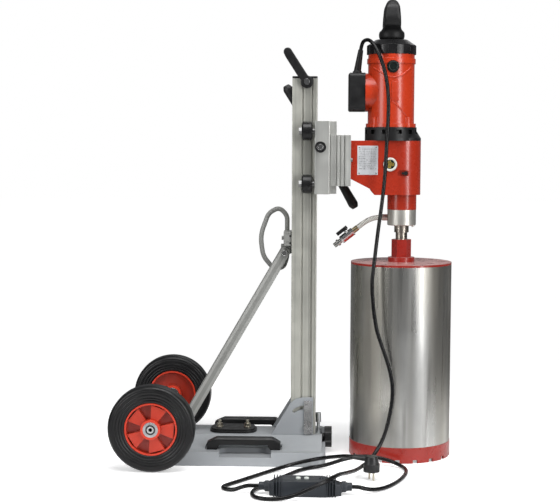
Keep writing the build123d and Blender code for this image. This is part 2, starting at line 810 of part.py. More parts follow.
strut_length = hypot(STRUT_TOP_X - STRUT_FOOT_X, STRUT_TOP_Z - STRUT_FOOT_Z)
strut_run = Vector(STRUT_TOP_X - STRUT_FOOT_X, 0, STRUT_TOP_Z - STRUT_FOOT_Z)
FORK_DEPTH = 46

with BuildPart() as strut:
    strut_plane = Plane(origin=(STRUT_FOOT_X, 0, STRUT_FOOT_Z), x_dir=strut_run, z_dir=(0, -1, 0))
    with BuildSketch(strut_plane.offset(-STRUT_SIZE / 2)):
        with Locations((strut_length / 2, 0)):
            SlotCenterToCenter(strut_length, STRUT_SIZE)
    extrude(amount=STRUT_SIZE)
    # square bore
    with BuildSketch(strut_plane.offset(-STRUT_SIZE / 2 + STRUT_WALL)):
        with Locations((strut_length / 2, 0)):
            Rectangle(strut_length - 60, STRUT_SIZE - 2 * STRUT_WALL)
    extrude(amount=STRUT_SIZE - 2 * STRUT_WALL, mode=Mode.SUBTRACT)
    # forked top end around the clamp's lug
    with BuildSketch(strut_plane.offset(-STRUT_SIZE / 2 + STRUT_WALL)):
        with Locations((strut_length - FORK_DEPTH / 2 + STRUT_SIZE / 2, 0)):
            Rectangle(FORK_DEPTH + STRUT_SIZE / 2, STRUT_SIZE + 2)
    extrude(amount=STRUT_SIZE - 2 * STRUT_WALL, mode=Mode.SUBTRACT)
    with Locations(plane_at((STRUT_FOOT_X, -STRUT_SIZE / 2, STRUT_FOOT_Z), (0, -1, 0))):
        Hole(STRUT_BOLT / 2 + RUNNING)
    with Locations(plane_at((STRUT_TOP_X, -STRUT_SIZE / 2, STRUT_TOP_Z), (0, -1, 0))):
        Hole(4)

with BuildPart() as strut_bolts:
    for side in (-1, 1):
        with BuildSketch(Plane.XZ.offset(side * (STRUT_SIZE / 2 - STRUT_WALL))):
            with Locations((STRUT_TOP_X, STRUT_TOP_Z)):
                Circle(4)
        extrude(amount=side * STRUT_WALL)
        with BuildSketch(Plane.XZ.offset(side * STRUT_SIZE / 2)):
            with Locations((STRUT_TOP_X, STRUT_TOP_Z)):
                Circle(7)
        extrude(amount=side * 5)
save_group((strut, strut_bolts), "strut")

# ---------------------------------------------------------------- carriage

with BuildPart() as carriage:
    with BuildSketch(Plane.XY.offset(CARRIAGE_BOTTOM)):
        with Locations(((CARRIAGE_REAR + CARRIAGE_FRONT) / 2, 0)):
            RectangleRounded(CARRIAGE_FRONT - CARRIAGE_REAR, 2 * CARRIAGE_HALF, 2)
        with Locations(((CARRIAGE_FRONT + DOVETAIL_FRONT) / 2 - 1, 0)):
            Rectangle(DOVETAIL_FRONT - CARRIAGE_FRONT + 2, 2 * DOVETAIL_HALF)
        with Locations((CARRIAGE_REAR, 0)):
            Rectangle(2 * (column_front + 0.6 - CARRIAGE_REAR), COLUMN_Y + 1.2, mode=Mode.SUBTRACT)
    extrude(amount=CARRIAGE_TOP - CARRIAGE_BOTTOM)
    # bore of the feed shaft and room for its pinion
    with Locations(plane_at((FEED_X, -CARRIAGE_HALF, FEED_Z), (0, -1, 0))):
        Hole(FEED_SHAFT / 2 + RUNNING)
    with BuildSketch(Plane.XZ.offset(-RACK_WIDTH / 2 - 1)):
        with Locations((FEED_X, FEED_Z)):
            Circle(pinion_radius + RACK_MODULE + 1)
        with Locations((FEED_X - 10, FEED_Z)):
            Rectangle(20, 2 * (pinion_radius + RACK_MODULE + 1))
    extrude(amount=RACK_WIDTH + 2, mode=Mode.SUBTRACT)
    # threads of the roller bolts
    for z in ROLLER_HEIGHTS:
        for side in (-1, 1):
            roller_y = side * (COLUMN_Y / 2 + ROLLER_DIA / 2)
            with Locations(plane_at((CARRIAGE_REAR, roller_y, z), (-1, 0, 0))):
                Hole(ROLLER_BOLT / 2, depth=18)
save(carriage.part, "carriage")

with BuildPart() as spacer_block:
    with BuildSketch(Plane.XY.offset(SPACER_BOTTOM)):
        with Locations(((CARRIAGE_FRONT + SPACER_FRONT) / 2 + 0.75, 0)):
            Rectangle(SPACER_FRONT - CARRIAGE_FRONT - 1.5, 2 * SPACER_HALF)
        with Locations((CARRIAGE_FRONT, 0)):
            Rectangle(2 * (DOVETAIL_FRONT - CARRIAGE_FRONT), 2 * DOVETAIL_HALF, mode=Mode.SUBTRACT)
        for x in (76, 85, 95):
            with Locations((x, SPACER_HALF), (x, -SPACER_HALF)):
                Rectangle(4, 8, mode=Mode.SUBTRACT)
    extrude(amount=SPACER_TOP - SPACER_BOTTOM)
save(spacer_block.part, "spacer_block")

with BuildPart() as carriage_bolts:
    for z in ROLLER_HEIGHTS:
        for side in (-1, 1):
            roller_y = side * (COLUMN_Y / 2 + ROLLER_DIA / 2)
            with BuildSketch(Plane.YZ.offset(CARRIAGE_REAR + 16)):
                with Locations((roller_y, z)):
                    Circle(ROLLER_BOLT / 2)
            extrude(amount=-(CARRIAGE_REAR + 16 - ROLLER_X + ROLLER_WIDTH / 2 + GAP))
            with BuildSketch(Plane.YZ.offset(ROLLER_X - ROLLER_WIDTH / 2 - GAP)):
                with Locations((roller_y, z)):
                    RegularPolygon(8, 6, major_radius=False)
            extrude(amount=-7)
            with BuildSketch(Plane.YZ.offset(ROLLER_X + ROLLER_WIDTH / 2 + GAP)):
                with Locations((roller_y, z)):
                    Circle(7)
            extrude(amount=CARRIAGE_REAR - ROLLER_X - ROLLER_WIDTH / 2 - GAP)
    for side in (-1, 1):
        with BuildSketch(Plane.YZ.offset(SPACER_FRONT)):
            with Locations((side * (SPACER_HALF - 5), 714)):
                Circle(4.5)
        extrude(amount=4)
save(carriage_bolts.part, "carriage_bolts")

for z, level in zip(ROLLER_HEIGHTS, ("lower", "upper")):
    for side, name in ((-1, "right"), (1, "left")):
        with BuildPart() as roller:
            roller_y = side * (COLUMN_Y / 2 + ROLLER_DIA / 2)
            with BuildSketch(Plane.YZ.offset(ROLLER_X - ROLLER_WIDTH / 2)):
                with Locations((roller_y, z)):
                    Circle(ROLLER_DIA / 2 - ROLLER_PLAY)
            extrude(amount=ROLLER_WIDTH)
            chamfer(roller.faces().filter_by(Plane.YZ).edges(), 3)
            with BuildSketch(Plane.YZ.offset(ROLLER_X - ROLLER_WIDTH / 2)):
                with Locations((roller_y, z)):
                    Circle(ROLLER_BOLT / 2 + RUNNING)
            extrude(amount=ROLLER_WIDTH, mode=Mode.SUBTRACT)
        save(roller.part, f"roller_{level}_{name}")

# ---------------------------------------------------------------- feed shaft and its two-armed handle

HUB_Y = (CARRIAGE_HALF + 3, FEED_HANDLE_Y + 12)
SHAFT_NECK = 14
SHAFT_NECK_HALF = COLUMN_Y / 2 + 2

with BuildPart() as feed_shaft:
    with BuildSketch(Plane.XZ.offset(-HUB_Y[1])):
        with Locations((FEED_X, FEED_Z)):
            Circle(FEED_SHAFT / 2)
    extrude(amount=HUB_Y[1] - SHAFT_NECK_HALF)
    with BuildSketch(Plane.XZ.offset(SHAFT_NECK_HALF)):
        with Locations((FEED_X, FEED_Z)):
            Circle(FEED_SHAFT / 2)
    extrude(amount=CARRIAGE_HALF + GAP - SHAFT_NECK_HALF)
    # thinner neck where it passes the column's front face
    with BuildSketch(Plane.XZ.offset(-SHAFT_NECK_HALF)):
        with Locations((FEED_X, FEED_Z)):
            Circle(SHAFT_NECK / 2)
    extrude(amount=2 * SHAFT_NECK_HALF)
    pinion_plane = Plane(origin=(FEED_X, RACK_WIDTH / 2, FEED_Z), x_dir=(1, 0, 0), z_dir=(0, -1, 0))
    with BuildSketch(pinion_plane):
        with BuildLine():
            outline = gear_outline(RACK_MODULE, PINION_TEETH, RACK_MODULE, 1.9, RACK_PLAY, 180)
            Polyline(*outline, close=True)
        make_face()
    extrude(amount=RACK_WIDTH)
    with BuildSketch(Plane.XZ.offset(CARRIAGE_HALF + GAP)):
        with Locations((FEED_X, FEED_Z)):
            Circle(13)
    extrude(amount=4)
    with BuildSketch(Plane.XZ.offset(CARRIAGE_HALF + GAP + 4)):
        with Locations((FEED_X, FEED_Z)):
            Circle(9)
    extrude(amount=5)
save(feed_shaft.part, "feed_shaft")

feed_axis = Vector(-sin(radians(FEED_LEAN)), 0, cos(radians(FEED_LEAN)))
hub_centre = Vector(FEED_X, FEED_HANDLE_Y, FEED_Z)

with BuildPart() as feed_handle:
    with BuildSketch(Plane.XZ.offset(-HUB_Y[1])):
        with Locations((FEED_X, FEED_Z)):
            Circle(19)
    extrude(amount=HUB_Y[1] - HUB_Y[0])
    with BuildSketch(plane_at(hub_centre - feed_axis * (FEED_ARM - 12), feed_axis)):
        Circle(FEED_BAR / 2)
    extrude(amount=2 * (FEED_ARM - 12))
    with BuildSketch(Plane.XZ.offset(-HUB_Y[1])):
        with Locations((FEED_X, FEED_Z)):
            Circle(FEED_SHAFT / 2)
    extrude(amount=HUB_Y[1] - HUB_Y[0], mode=Mode.SUBTRACT)

with BuildPart() as feed_grips:
    for side in (-1, 1):
        outward = feed_axis * side
        grip_start = FEED_ARM - FEED_GRIP + 12
        with BuildSketch(plane_at(hub_centre + outward * grip_start, outward)):
            Circle(9.5)
        with BuildSketch(plane_at(hub_centre + outward * (FEED_ARM + 2), outward)):
            Circle(12.5)
        loft()
        with BuildSketch(plane_at(hub_centre + outward * (FEED_ARM + 2), outward)):
            Circle(12.5)
        extrude(amount=10, taper=25)
        with BuildSketch(plane_at(hub_centre + outward * grip_start, outward)):
            Circle(FEED_BAR / 2)
        extrude(amount=FEED_ARM - 12 - grip_start, mode=Mode.SUBTRACT)
save_group((feed_handle, feed_grips), "feed_handle")

# ---------------------------------------------------------------- gear housing and gear train

first_distance = FIRST_MODULE * (ROTOR_TEETH + WHEEL_TEETH) / 2
second_distance = SECOND_MODULE * (LAY_TEETH + SPINDLE_TEETH) / 2
axis_distance = SPINDLE_X - MOTOR_X
lay_back = (first_distance**2 - second_distance**2 + axis_distance**2) / (2 * axis_distance)
LAY_X = MOTOR_X + lay_back
LAY_Y = sqrt(first_distance**2 - lay_back**2)
LAY_JOURNAL = 6
GEAR_PLAY = 0.3
cavity_bottom = HOUSING_BOTTOM + 9
wheel_radius = FIRST_MODULE * WHEEL_TEETH / 2

with BuildPart() as gear_housing:
    with BuildSketch(Plane.XY.offset(HOUSING_BOTTOM)):
        with Locations(((SPACER_FRONT + NOSE_X) / 2, 0)):
            Rectangle(NOSE_X - SPACER_FRONT, 2 * HOUSING_HALF)
        with Locations((NOSE_X, 0)):
            Circle(HOUSING_HALF)
        # bulge over the layshaft's wheel
        with Locations((LAY_X, LAY_Y)):
            Circle(wheel_radius + 2 + HOUSING_WALL)
    extrude(amount=HOUSING_TOP - HOUSING_BOTTOM)
    # collar
    with BuildSketch(Plane.XY.offset(COLLAR_BOTTOM)):
        with Locations((SPINDLE_X, 0)):
            Circle(COLLAR_DIA / 2)
    extrude(amount=HOUSING_BOTTOM - COLLAR_BOTTOM)
    # slanted underside below the mounting face
    with BuildSketch(Plane.XZ.offset(-2 * HOUSING_HALF)):
        with BuildLine():
            Polyline(
                (SPACER_FRONT - 1, HOUSING_BOTTOM - 1),
                (SPACER_FRONT - 1, 669.5),
                (SPACER_FRONT, 669),
                (157, 645),
                (161, 638),
                (168, HOUSING_BOTTOM - 1),
                close=True,
            )
        make_face()
    extrude(amount=4 * HOUSING_HALF, mode=Mode.SUBTRACT)
    # gear room, open at the top
    with BuildSketch(Plane.XY.offset(cavity_bottom)):
        with Locations(((176 + NOSE_X) / 2, 0)):
            Rectangle(NOSE_X - 176, 2 * (HOUSING_HALF - HOUSING_WALL))
        with Locations((NOSE_X, 0)):
            Circle(HOUSING_HALF - HOUSING_WALL)
        with Locations((LAY_X, LAY_Y)):
            Circle(wheel_radius + 2)
    extrude(amount=HOUSING_TOP - cavity_bottom, mode=Mode.SUBTRACT)
    # hollow of the mounting arm
    with BuildSketch(Plane.XY.offset(690)):
        with Locations(((SPACER_FRONT + 176) / 2, 0)):
            Rectangle(176 - SPACER_FRONT - 14, 2 * (HOUSING_HALF - 10))
    extrude(amount=HOUSING_TOP - 690, mode=Mode.SUBTRACT)
    # bores: spindle, layshaft journal, sight glass, gear knob
    with Locations((SPINDLE_X, 0, cavity_bottom)):
        Hole(SPINDLE_DIA / 2 + RUNNING, depth=60)
    with Locations((LAY_X, LAY_Y, cavity_bottom)):
        Hole(LAY_JOURNAL + RUNNING, depth=6)
    with Locations(plane_at((SIGHT_X, -HOUSING_HALF, SIGHT_Z), (0, -1, 0))):
        Hole(12, depth=HOUSING_WALL + 4)
    with Locations(plane_at((KNOB_X, -HOUSING_HALF, KNOB_Z), (0, -1, 0))):
        Hole(3 + RUNNING, depth=HOUSING_WALL + 6)
    with BuildSketch(Plane.XZ.offset(HOUSING_HALF - 3.5)):
        with Locations((KNOB_X - 5, KNOB_Z)):
            SlotOverall(30, 13)
    extrude(amount=10, mode=Mode.SUBTRACT)
save(gear_housing.part, "gear_housing")

with BuildPart() as sight_glass:
    with BuildSketch(Plane.XZ.offset(HOUSING_HALF)):
        with Locations((SIGHT_X, SIGHT_Z)):
            Circle(SIGHT_DIA / 2)
    extrude(amount=3)
    with BuildSketch(Plane.XZ.offset(HOUSING_HALF - HOUSING_WALL)):
        with Locations((SIGHT_X, SIGHT_Z)):
            Circle(12)
    extrude(amount=HOUSING_WALL)
save(sight_glass.part, "sight_glass")

with BuildPart() as gear_knob:
    with BuildSketch(Plane.XZ.offset(HOUSING_HALF - HOUSING_WALL + 0.5)):
        with Locations((KNOB_X, KNOB_Z)):
            Circle(3)
    extrude(amount=HOUSING_WALL)
    with BuildSketch(Plane.XZ.offset(HOUSING_HALF - 3)):
        with Locations((KNOB_X, KNOB_Z)):
            Circle(5)
    extrude(amount=3 + GAP)
    with BuildSketch(Plane.XZ.offset(HOUSING_HALF + GAP)):
        with Locations((KNOB_X, KNOB_Z)):
            Circle(5)
        with Locations((KNOB_X - 5, KNOB_Z)):
            Rectangle(10, 5)
    extrude(amount=5)
save(gear_knob.part, "gear_knob")

with BuildPart() as water_swivel:
    with BuildSketch(Plane.XY.offset(SWIVEL_BOTTOM)):
        with Locations((SPINDLE_X, 0)):
            Circle(COLLAR_DIA / 2 - 0.5)
    extrude(amount=COLLAR_BOTTOM - SWIVEL_BOTTOM)
    chamfer(water_swivel.faces().sort_by(Axis.Z)[0].edges(), 1.5)
    with Locations((SPINDLE_X, 0, COLLAR_BOTTOM)):
        Hole(SPINDLE_DIA / 2 + RUNNING)
    with Locations(plane_at((SPINDLE_X - COLLAR_DIA / 2, 0, 575.5), (-1, 0, 0))):
        Hole(5, depth=13)
    with BuildSketch(Plane.XY.offset(SWIVEL_BOTTOM)):
        with Locations((SPINDLE_X + COLLAR_DIA / 2 - 8, -4)):
            Circle(3)
    extrude(amount=-4)
save(water_swivel.part, "water_swivel")

to_lay = degrees(atan2(LAY_Y, LAY_X - MOTOR_X))
lay_to_rotor = to_lay + 180
lay_to_spindle = degrees(atan2(-LAY_Y, SPINDLE_X - LAY_X))
# a rotor tooth points at the layshaft, whose wheel has a gap there; the layshaft pinion then sets the spindle wheel
wheel_turn = lay_to_rotor + 180 / WHEEL_TEETH
spindle_turn = lay_to_spindle + 180 + 180 / SPINDLE_TEETH

with BuildPart() as spindle:
    with BuildSketch(Plane.XY.offset(540)):
        with Locations((SPINDLE_X, 0)):
            Circle(SPINDLE_DIA / 2)
    extrude(amount=200)
    with BuildSketch(Plane.XY.offset(HEX_TOP - 25)):
        with Locations((SPINDLE_X, 0)):
            Circle(THREAD_DIA / 2)
    extrude(amount=540 - HEX_TOP + 25)
    with BuildSketch(Plane.XY.offset(740)):
        with Locations((SPINDLE_X, 0)):
            Circle(12)
    extrude(amount=25)
    with BuildSketch(Plane(origin=(SPINDLE_X, 0, 650))):
        with BuildLine():
            Polyline(*gear_outline(SECOND_MODULE, SPINDLE_TEETH, 1.1, 2, GEAR_PLAY, spindle_turn), close=True)
        make_face()
    extrude(amount=26)
save(spindle.part, "spindle")

with BuildPart() as layshaft:
    with BuildSketch(Plane.XY.offset(cavity_bottom - 5)):
        with Locations((LAY_X, LAY_Y)):
            Circle(LAY_JOURNAL)
    extrude(amount=HOUSING_TOP + 5 - cavity_bottom + 5)
    with BuildSketch(Plane.XY.offset(cavity_bottom + 2)):
        with Locations((LAY_X, LAY_Y)):
            Circle(8)
    extrude(amount=5)
    with BuildSketch(Plane(origin=(LAY_X, LAY_Y, 649))):
        with BuildLine():
            Polyline(*gear_outline(SECOND_MODULE, LAY_TEETH, 1.6, 1.6, GEAR_PLAY, lay_to_spindle), close=True)
        make_face()
    extrude(amount=28)
    with BuildSketch(Plane(origin=(LAY_X, LAY_Y, 718))):
        with BuildLine():
            Polyline(*gear_outline(FIRST_MODULE, WHEEL_TEETH, 0.75, 1.5, GEAR_PLAY, wheel_turn), close=True)
        make_face()
    extrude(amount=16)
save(layshaft.part, "layshaft")

FAN_Z = 802
STATOR_Z = (836, 904)

with BuildPart() as rotor:
    with BuildSketch(Plane.XY.offset(738)):
        with Locations((MOTOR_X, 0)):
            Circle(7)
    extrude(amount=MOTOR_TOP - 7 - 738)
    with BuildSketch(Plane(origin=(MOTOR_X, 0, 716))):
        with BuildLine():
            Polyline(*gear_outline(FIRST_MODULE, ROTOR_TEETH, 1.1, 1.1, GEAR_PLAY, to_lay), close=True)
        make_face()
    extrude(amount=24)
    with BuildSketch(Plane.XY.offset(FAN_Z)):
        with Locations((MOTOR_X, 0)):
            Circle(44)
            Circle(36, mode=Mode.SUBTRACT)
            with PolarLocations(24, 9):
                Rectangle(28, 3)
            Circle(12)
    extrude(amount=16)
    with BuildSketch(Plane.XY.offset(STATOR_Z[0] - 4)):
        with Locations((MOTOR_X, 0)):
            Circle(28.5)
    extrude(amount=STATOR_Z[1] - STATOR_Z[0] + 8)
    with BuildSketch(Plane.XY.offset(918)):
        with Locations((MOTOR_X, 0)):
            Circle(19)
    extrude(amount=26)
save(rotor.part, "rotor")

with BuildPart() as stator:
    with BuildSketch(Plane.XY.offset(STATOR_Z[0])):
        with Locations((MOTOR_X, 0)):
            Circle(MOTOR_DIA / 2 - MOTOR_WALL)
            Circle(29.2, mode=Mode.SUBTRACT)
    extrude(amount=STATOR_Z[1] - STATOR_Z[0])
save(stator.part, "stator")

# ---------------------------------------------------------------- vented ring between gear housing and motor

with BuildPart() as vent_ring:
    with BuildSketch(Plane.XY.offset(HOUSING_TOP)):
        with Locations((MOTOR_X, 0)):
            Circle(62)
        with Locations((NOSE_X, 0)):
            Circle(HOUSING_HALF)
        with Locations((LAY_X, LAY_Y)):
            Circle(wheel_radius + 2 + HOUSING_WALL)
    extrude(amount=6)
    with BuildSketch(Plane.XY.offset(HOUSING_TOP + 6)):
        with Locations((MOTOR_X, 0)):
            Circle(62)
    extrude(amount=VENT_TOP - HOUSING_TOP - 6)
    with BuildSketch(Plane.XY.offset(HOUSING_TOP + 6)):
        with Locations((NOSE_X, 0)):
            Circle(HOUSING_HALF)
    extrude(amount=20, taper=32)
    with BuildSketch(Plane.XY.offset(HOUSING_TOP + 7)):
        with Locations((MOTOR_X, 0)):
            Circle(50)
    extrude(amount=VENT_TOP, mode=Mode.SUBTRACT)
    # air outlets
    with BuildSketch(Plane.XY.offset(VENT_TOP - 16)):
        with Locations((MOTOR_X, 0)):
            with PolarLocations(58, 12, start_angle=15):
                Rectangle(30, 15)
    extrude(amount=10, mode=Mode.SUBTRACT)
    # bearing bores
    with Locations((MOTOR_X, 0, HOUSING_TOP + 7)):
        Hole(7 + RUNNING)
    with Locations((LAY_X, LAY_Y, HOUSING_TOP + 7)):
        Hole(LAY_JOURNAL + RUNNING)
    with Locations((SPINDLE_X, 0, HOUSING_TOP + 7)):
        Hole(12 + RUNNING)
save(vent_ring.part, "vent_ring")

# ---------------------------------------------------------------- motor

SWITCH_Z = (SWITCH_BOTTOM + SWITCH_TOP) / 2

with BuildPart() as motor_housing:
    with BuildSketch(Plane.XY.offset(VENT_TOP)):
        with Locations((MOTOR_X, 0)):
            Circle(MOTOR_DIA / 2)
    extrude(amount=MOTOR_TOP - VENT_TOP)
    # foot flange with its four screw towers
    with BuildSketch(Plane.XY.offset(VENT_TOP)):
        with Locations((MOTOR_X, 0)):
            Circle(60)
            with PolarLocations(54, 4, start_angle=45):
                Circle(9)
    extrude(amount=9)
    with BuildSketch(Plane.XY.offset(VENT_TOP)):
        with Locations((MOTOR_X, 0)):
            with PolarLocations(53, 4, start_angle=45):
                Circle(9)
    extrude(amount=23)
    # rounded collar below the cap
    with BuildSketch(Plane.XY.offset(MOTOR_TOP - 22)):
        with Locations((MOTOR_X, 0)):
            Circle(MOTOR_DIA / 2 + 2.5)
    extrude(amount=12)
    # round boss that carries the switch box
    with BuildSketch(Plane.YZ.offset(SWITCH_FRONT)):
        with Locations((0, SWITCH_Z)):
            Circle(46)
    extrude(amount=30)
    with BuildSketch(Plane.XY.offset(VENT_TOP)):
        with Locations((MOTOR_X, 0)):
            Circle(MOTOR_DIA / 2 - MOTOR_WALL)
    extrude(amount=MOTOR_TOP - VENT_TOP, mode=Mode.SUBTRACT)
    # upper bearing plate
    with BuildSketch(Plane.XY.offset(MOTOR_TOP - 14)):
        with Locations((MOTOR_X, 0)):
            Circle(MOTOR_DIA / 2 - MOTOR_WALL)
            Circle(7 + RUNNING, mode=Mode.SUBTRACT)
    extrude(amount=8)
    # brush openings
    with BuildSketch(Plane.XZ.offset(-MOTOR_DIA)):
        with Locations((MOTOR_X + 1.6, BRUSH_Z)):
            Circle(BRUSH_DIA / 2)
    extrude(amount=2 * MOTOR_DIA, mode=Mode.SUBTRACT)
save(motor_housing.part, "motor_housing")

with BuildPart() as brush_caps:
    for side in (-1, 1):
        with BuildSketch(Plane.XZ.offset(side * (MOTOR_DIA / 2 - 6))):
            with Locations((MOTOR_X + 1.6, BRUSH_Z)):
                Circle(BRUSH_DIA / 2)
        extrude(amount=side * 8)
        with BuildSketch(Plane.XZ.offset(side * 19.5)):
            with Locations((MOTOR_X + 1.6, BRUSH_Z)):
                Rectangle(8, 12)
        extrude(amount=side * (MOTOR_DIA / 2 - 6 - 19.5))
save(brush_caps.part, "brush_caps")

with BuildPart() as motor_cap:
    with BuildSketch(Plane.XY.offset(MOTOR_TOP)):
        with Locations((MOTOR_X, 0)):
            Circle(CAP_DIA / 2)
    extrude(amount=CAP_TOP - MOTOR_TOP)
    chamfer(motor_cap.faces().sort_by(Axis.Z)[-1].edges(), 14, 20)
    with BuildSketch(Plane.XY.offset(MOTOR_TOP - 1)):
        with Locations((MOTOR_X, 0)):
            with PolarLocations(CAP_DIA / 2 + 6, 10, start_angle=18):
                Rectangle(18, 20)
    extrude(amount=24, mode=Mode.SUBTRACT)
    with BuildSketch(Plane.XY.offset(MOTOR_TOP - 1)):
        with Locations((MOTOR_X, 0)):
            Circle(40)
    extrude(amount=18, mode=Mode.SUBTRACT)
save(motor_cap.part, "motor_cap")

GRIP_WIDTH = 116

with BuildPart() as d_handle:
    with BuildSketch(Plane.YZ.offset(MOTOR_X - 22)):
        with BuildLine():
            Polyline(
                (-30, NECK_TOP - 1),
                (-50, NECK_TOP + 10),
                (-GRIP_WIDTH / 2, NECK_TOP + 26),
                (-GRIP_WIDTH / 2 + 5, GRIP_TOP - 18),
                (-GRIP_WIDTH / 2 + 22, GRIP_TOP),
                (GRIP_WIDTH / 2 - 22, GRIP_TOP),
                (GRIP_WIDTH / 2 - 5, GRIP_TOP - 18),
                (GRIP_WIDTH / 2, NECK_TOP + 26),
                (50, NECK_TOP + 10),
                (30, NECK_TOP - 1),
                close=True,
            )
        make_face()
        with Locations((0, NECK_TOP + 31)):
            RectangleRounded(72, 34, 12, mode=Mode.SUBTRACT)
    extrude(amount=44)
    # narrower towards the top, which is round across the grip
    with BuildSketch(Plane.XZ.offset(-GRIP_WIDTH)):
        with BuildLine():
            Polyline(
                (MOTOR_X - 22, NECK_TOP - 2),
                (MOTOR_X - 17.5, GRIP_TOP - 16),
                (MOTOR_X - 12, GRIP_TOP - 5),
                (MOTOR_X - 5, GRIP_TOP),
                (MOTOR_X + 5, GRIP_TOP),
                (MOTOR_X + 12, GRIP_TOP - 5),
                (MOTOR_X + 17.5, GRIP_TOP - 16),
                (MOTOR_X + 22, NECK_TOP - 2),
                close=True,
            )
        make_face()
    extrude(amount=2 * GRIP_WIDTH, mode=Mode.INTERSECT)
    # ribbed neck
    with BuildSketch(Plane.XY.offset(CAP_TOP)):
        with Locations((MOTOR_X, 0)):
            Circle(NECK_DIA / 2 - 3)
    extrude(amount=NECK_TOP - CAP_TOP)
    for k in range(3):
        with BuildSketch(Plane.XY.offset(CAP_TOP + 1 + 7.5 * k)):
            with Locations((MOTOR_X, 0)):
                Circle(NECK_DIA / 2)
        extrude(amount=5)
save(d_handle.part, "d_handle")

# ---------------------------------------------------------------- switch box, rocker and strain relief

switch_mid_x = (SWITCH_REAR + SWITCH_FRONT) / 2
RELIEF_TIP = (132.5, -10.5, 976)

with BuildPart() as switch_box:
    with BuildSketch(Plane.YZ.offset(SWITCH_REAR)):
        with Locations((0, SWITCH_Z)):
            RectangleRounded(2 * SWITCH_HALF, SWITCH_TOP - SWITCH_BOTTOM, 10)
    extrude(amount=SWITCH_FRONT - SWITCH_REAR)
    chamfer(switch_box.faces().sort_by(Axis.X)[0].edges(), 3)
    with BuildSketch(Plane.YZ.offset(SWITCH_REAR)):
        with Locations((0, SWITCH_Z)):
            Rectangle(20, 30)
    extrude(amount=14, mode=Mode.SUBTRACT)
    with BuildSketch(Plane.YZ.offset(SWITCH_FRONT)):
        with Locations((0, SWITCH_Z)):
            RectangleRounded(70, 76, 8)
    extrude(amount=-22, mode=Mode.SUBTRACT)
save(switch_box.part, "switch_box")

with BuildPart() as switch_rocker:
    with BuildSketch(Plane.XZ.offset(-9.4)):
        with BuildLine():
            Polyline(
                (SWITCH_REAR + 9, SWITCH_Z - 10),
                (SWITCH_REAR + 0.5, SWITCH_Z - 13.2),
                (SWITCH_REAR + 2.5, SWITCH_Z),
                (SWITCH_REAR + 0.5, SWITCH_Z + 13.2),
                (SWITCH_REAR + 9, SWITCH_Z + 10),
                close=True,
            )
        make_face()
    extrude(amount=18.8)
save(switch_rocker.part, "switch_rocker")

relief_foot = Vector(124.7, 0, SWITCH_TOP + 3)
relief_run = Vector(*RELIEF_TIP) - relief_foot

with BuildPart() as strain_relief:
    with BuildSketch(Plane.XY.offset(SWITCH_TOP)):
        with Locations((relief_foot.X, 0)):
            Circle(11)
    extrude(amount=5)
    with BuildSketch(plane_at(relief_foot, relief_run)):
        Circle(9)
    with BuildSketch(plane_at(RELIEF_TIP, relief_run)):
        Circle(6)
    loft()
save(strain_relief.part, "strain_relief")

# ---------------------------------------------------------------- core bit

with BuildPart() as core_adaptor:
    with BuildSketch(Plane.XY.offset(HEX_BOTTOM)):
        with Locations((SPINDLE_X, 0)):
            RegularPolygon(HEX_FLATS / 2, 6, major_radius=False)
    extrude(amount=HEX_TOP - HEX_BOTTOM)
    with BuildSketch(Plane.XY.offset(CORE_TOP + 5)):
        with Locations((SPINDLE_X, 0)):
            Circle(BIT_FLANGE_DIA / 2)
    extrude(amount=HEX_BOTTOM - CORE_TOP - 5)
    with BuildSketch(Plane.XY.offset(CORE_TOP)):
        with Locations((SPINDLE_X, 0)):
            Circle(CORE_DIA / 2)
    extrude(amount=5)
    with Locations((SPINDLE_X, 0, HEX_TOP)):
        Hole(THREAD_DIA / 2, depth=26)
    with Locations((SPINDLE_X, 0, HEX_TOP)):
        Hole(6)
save(core_adaptor.part, "core_adaptor")

with BuildPart() as core_tube:
    with BuildSketch(Plane.XY.offset(CROWN_TOP)):
        with Locations((SPINDLE_X, 0)):
            Circle(CORE_DIA / 2)
            Circle(CORE_DIA / 2 - CORE_WALL, mode=Mode.SUBTRACT)
    extrude(amount=CORE_TOP - CROWN_TOP)
save(core_tube.part, "core_tube")

with BuildPart() as core_crown:
    with BuildSketch(Plane.XY):
        with Locations((SPINDLE_X, 0)):
            Circle(CORE_DIA / 2 + 0.8)
            Circle(CORE_DIA / 2 - CORE_WALL - 0.8, mode=Mode.SUBTRACT)
    extrude(amount=CROWN_TOP)
    with BuildSketch(Plane.XY):
        with Locations((SPINDLE_X, 0)):
            with PolarLocations(CORE_DIA / 2, CROWN_SEGMENTS, start_angle=5):
                Rectangle(16, 11)
    extrude(amount=8, mode=Mode.SUBTRACT)
save(core_crown.part, "core_crown")

# ---------------------------------------------------------------- water line: hose, fittings, ball valve and nipple

hose_points = [
    (188, 0, 575.5),
    (175, 0, 575.5),
    (162, 0, 572),
    (150, 0, 566.3),
    (139, 0, 558.8),
    (129, 0, 550.8),
]
hose_radii = cord_path(hose_points)

with BuildPart() as water_hose:
    with BuildLine():
        FilletPolyline(*hose_points, radius=hose_radii)
    with BuildSketch(plane_at(hose_points[0], Vector(*hose_points[1]) - Vector(*hose_points[0]))):
        Circle(HOSE_DIA / 2)
    sweep()
save(water_hose.part, "water_hose")
report_cord("water_hose", hose_radii, water_hose.part, HOSE_DIA)

valve_start = Vector(*hose_points[-1])
valve_axis = (Vector(*hose_points[-1]) - Vector(*hose_points[-2])).normalized()
valve_up = Vector(valve_axis.Z, 0, -valve_axis.X)
FERRULE_LENGTH = 14
VALVE_LENGTH = 36
NIPPLE_LENGTH = 22
STEM_AT = 14  # stem, measured from the valve body's hose end


def along_valve(distance):
    """Plane across the water line, a distance beyond the hose's end."""
    return plane_at(valve_start + valve_axis * distance, valve_axis)


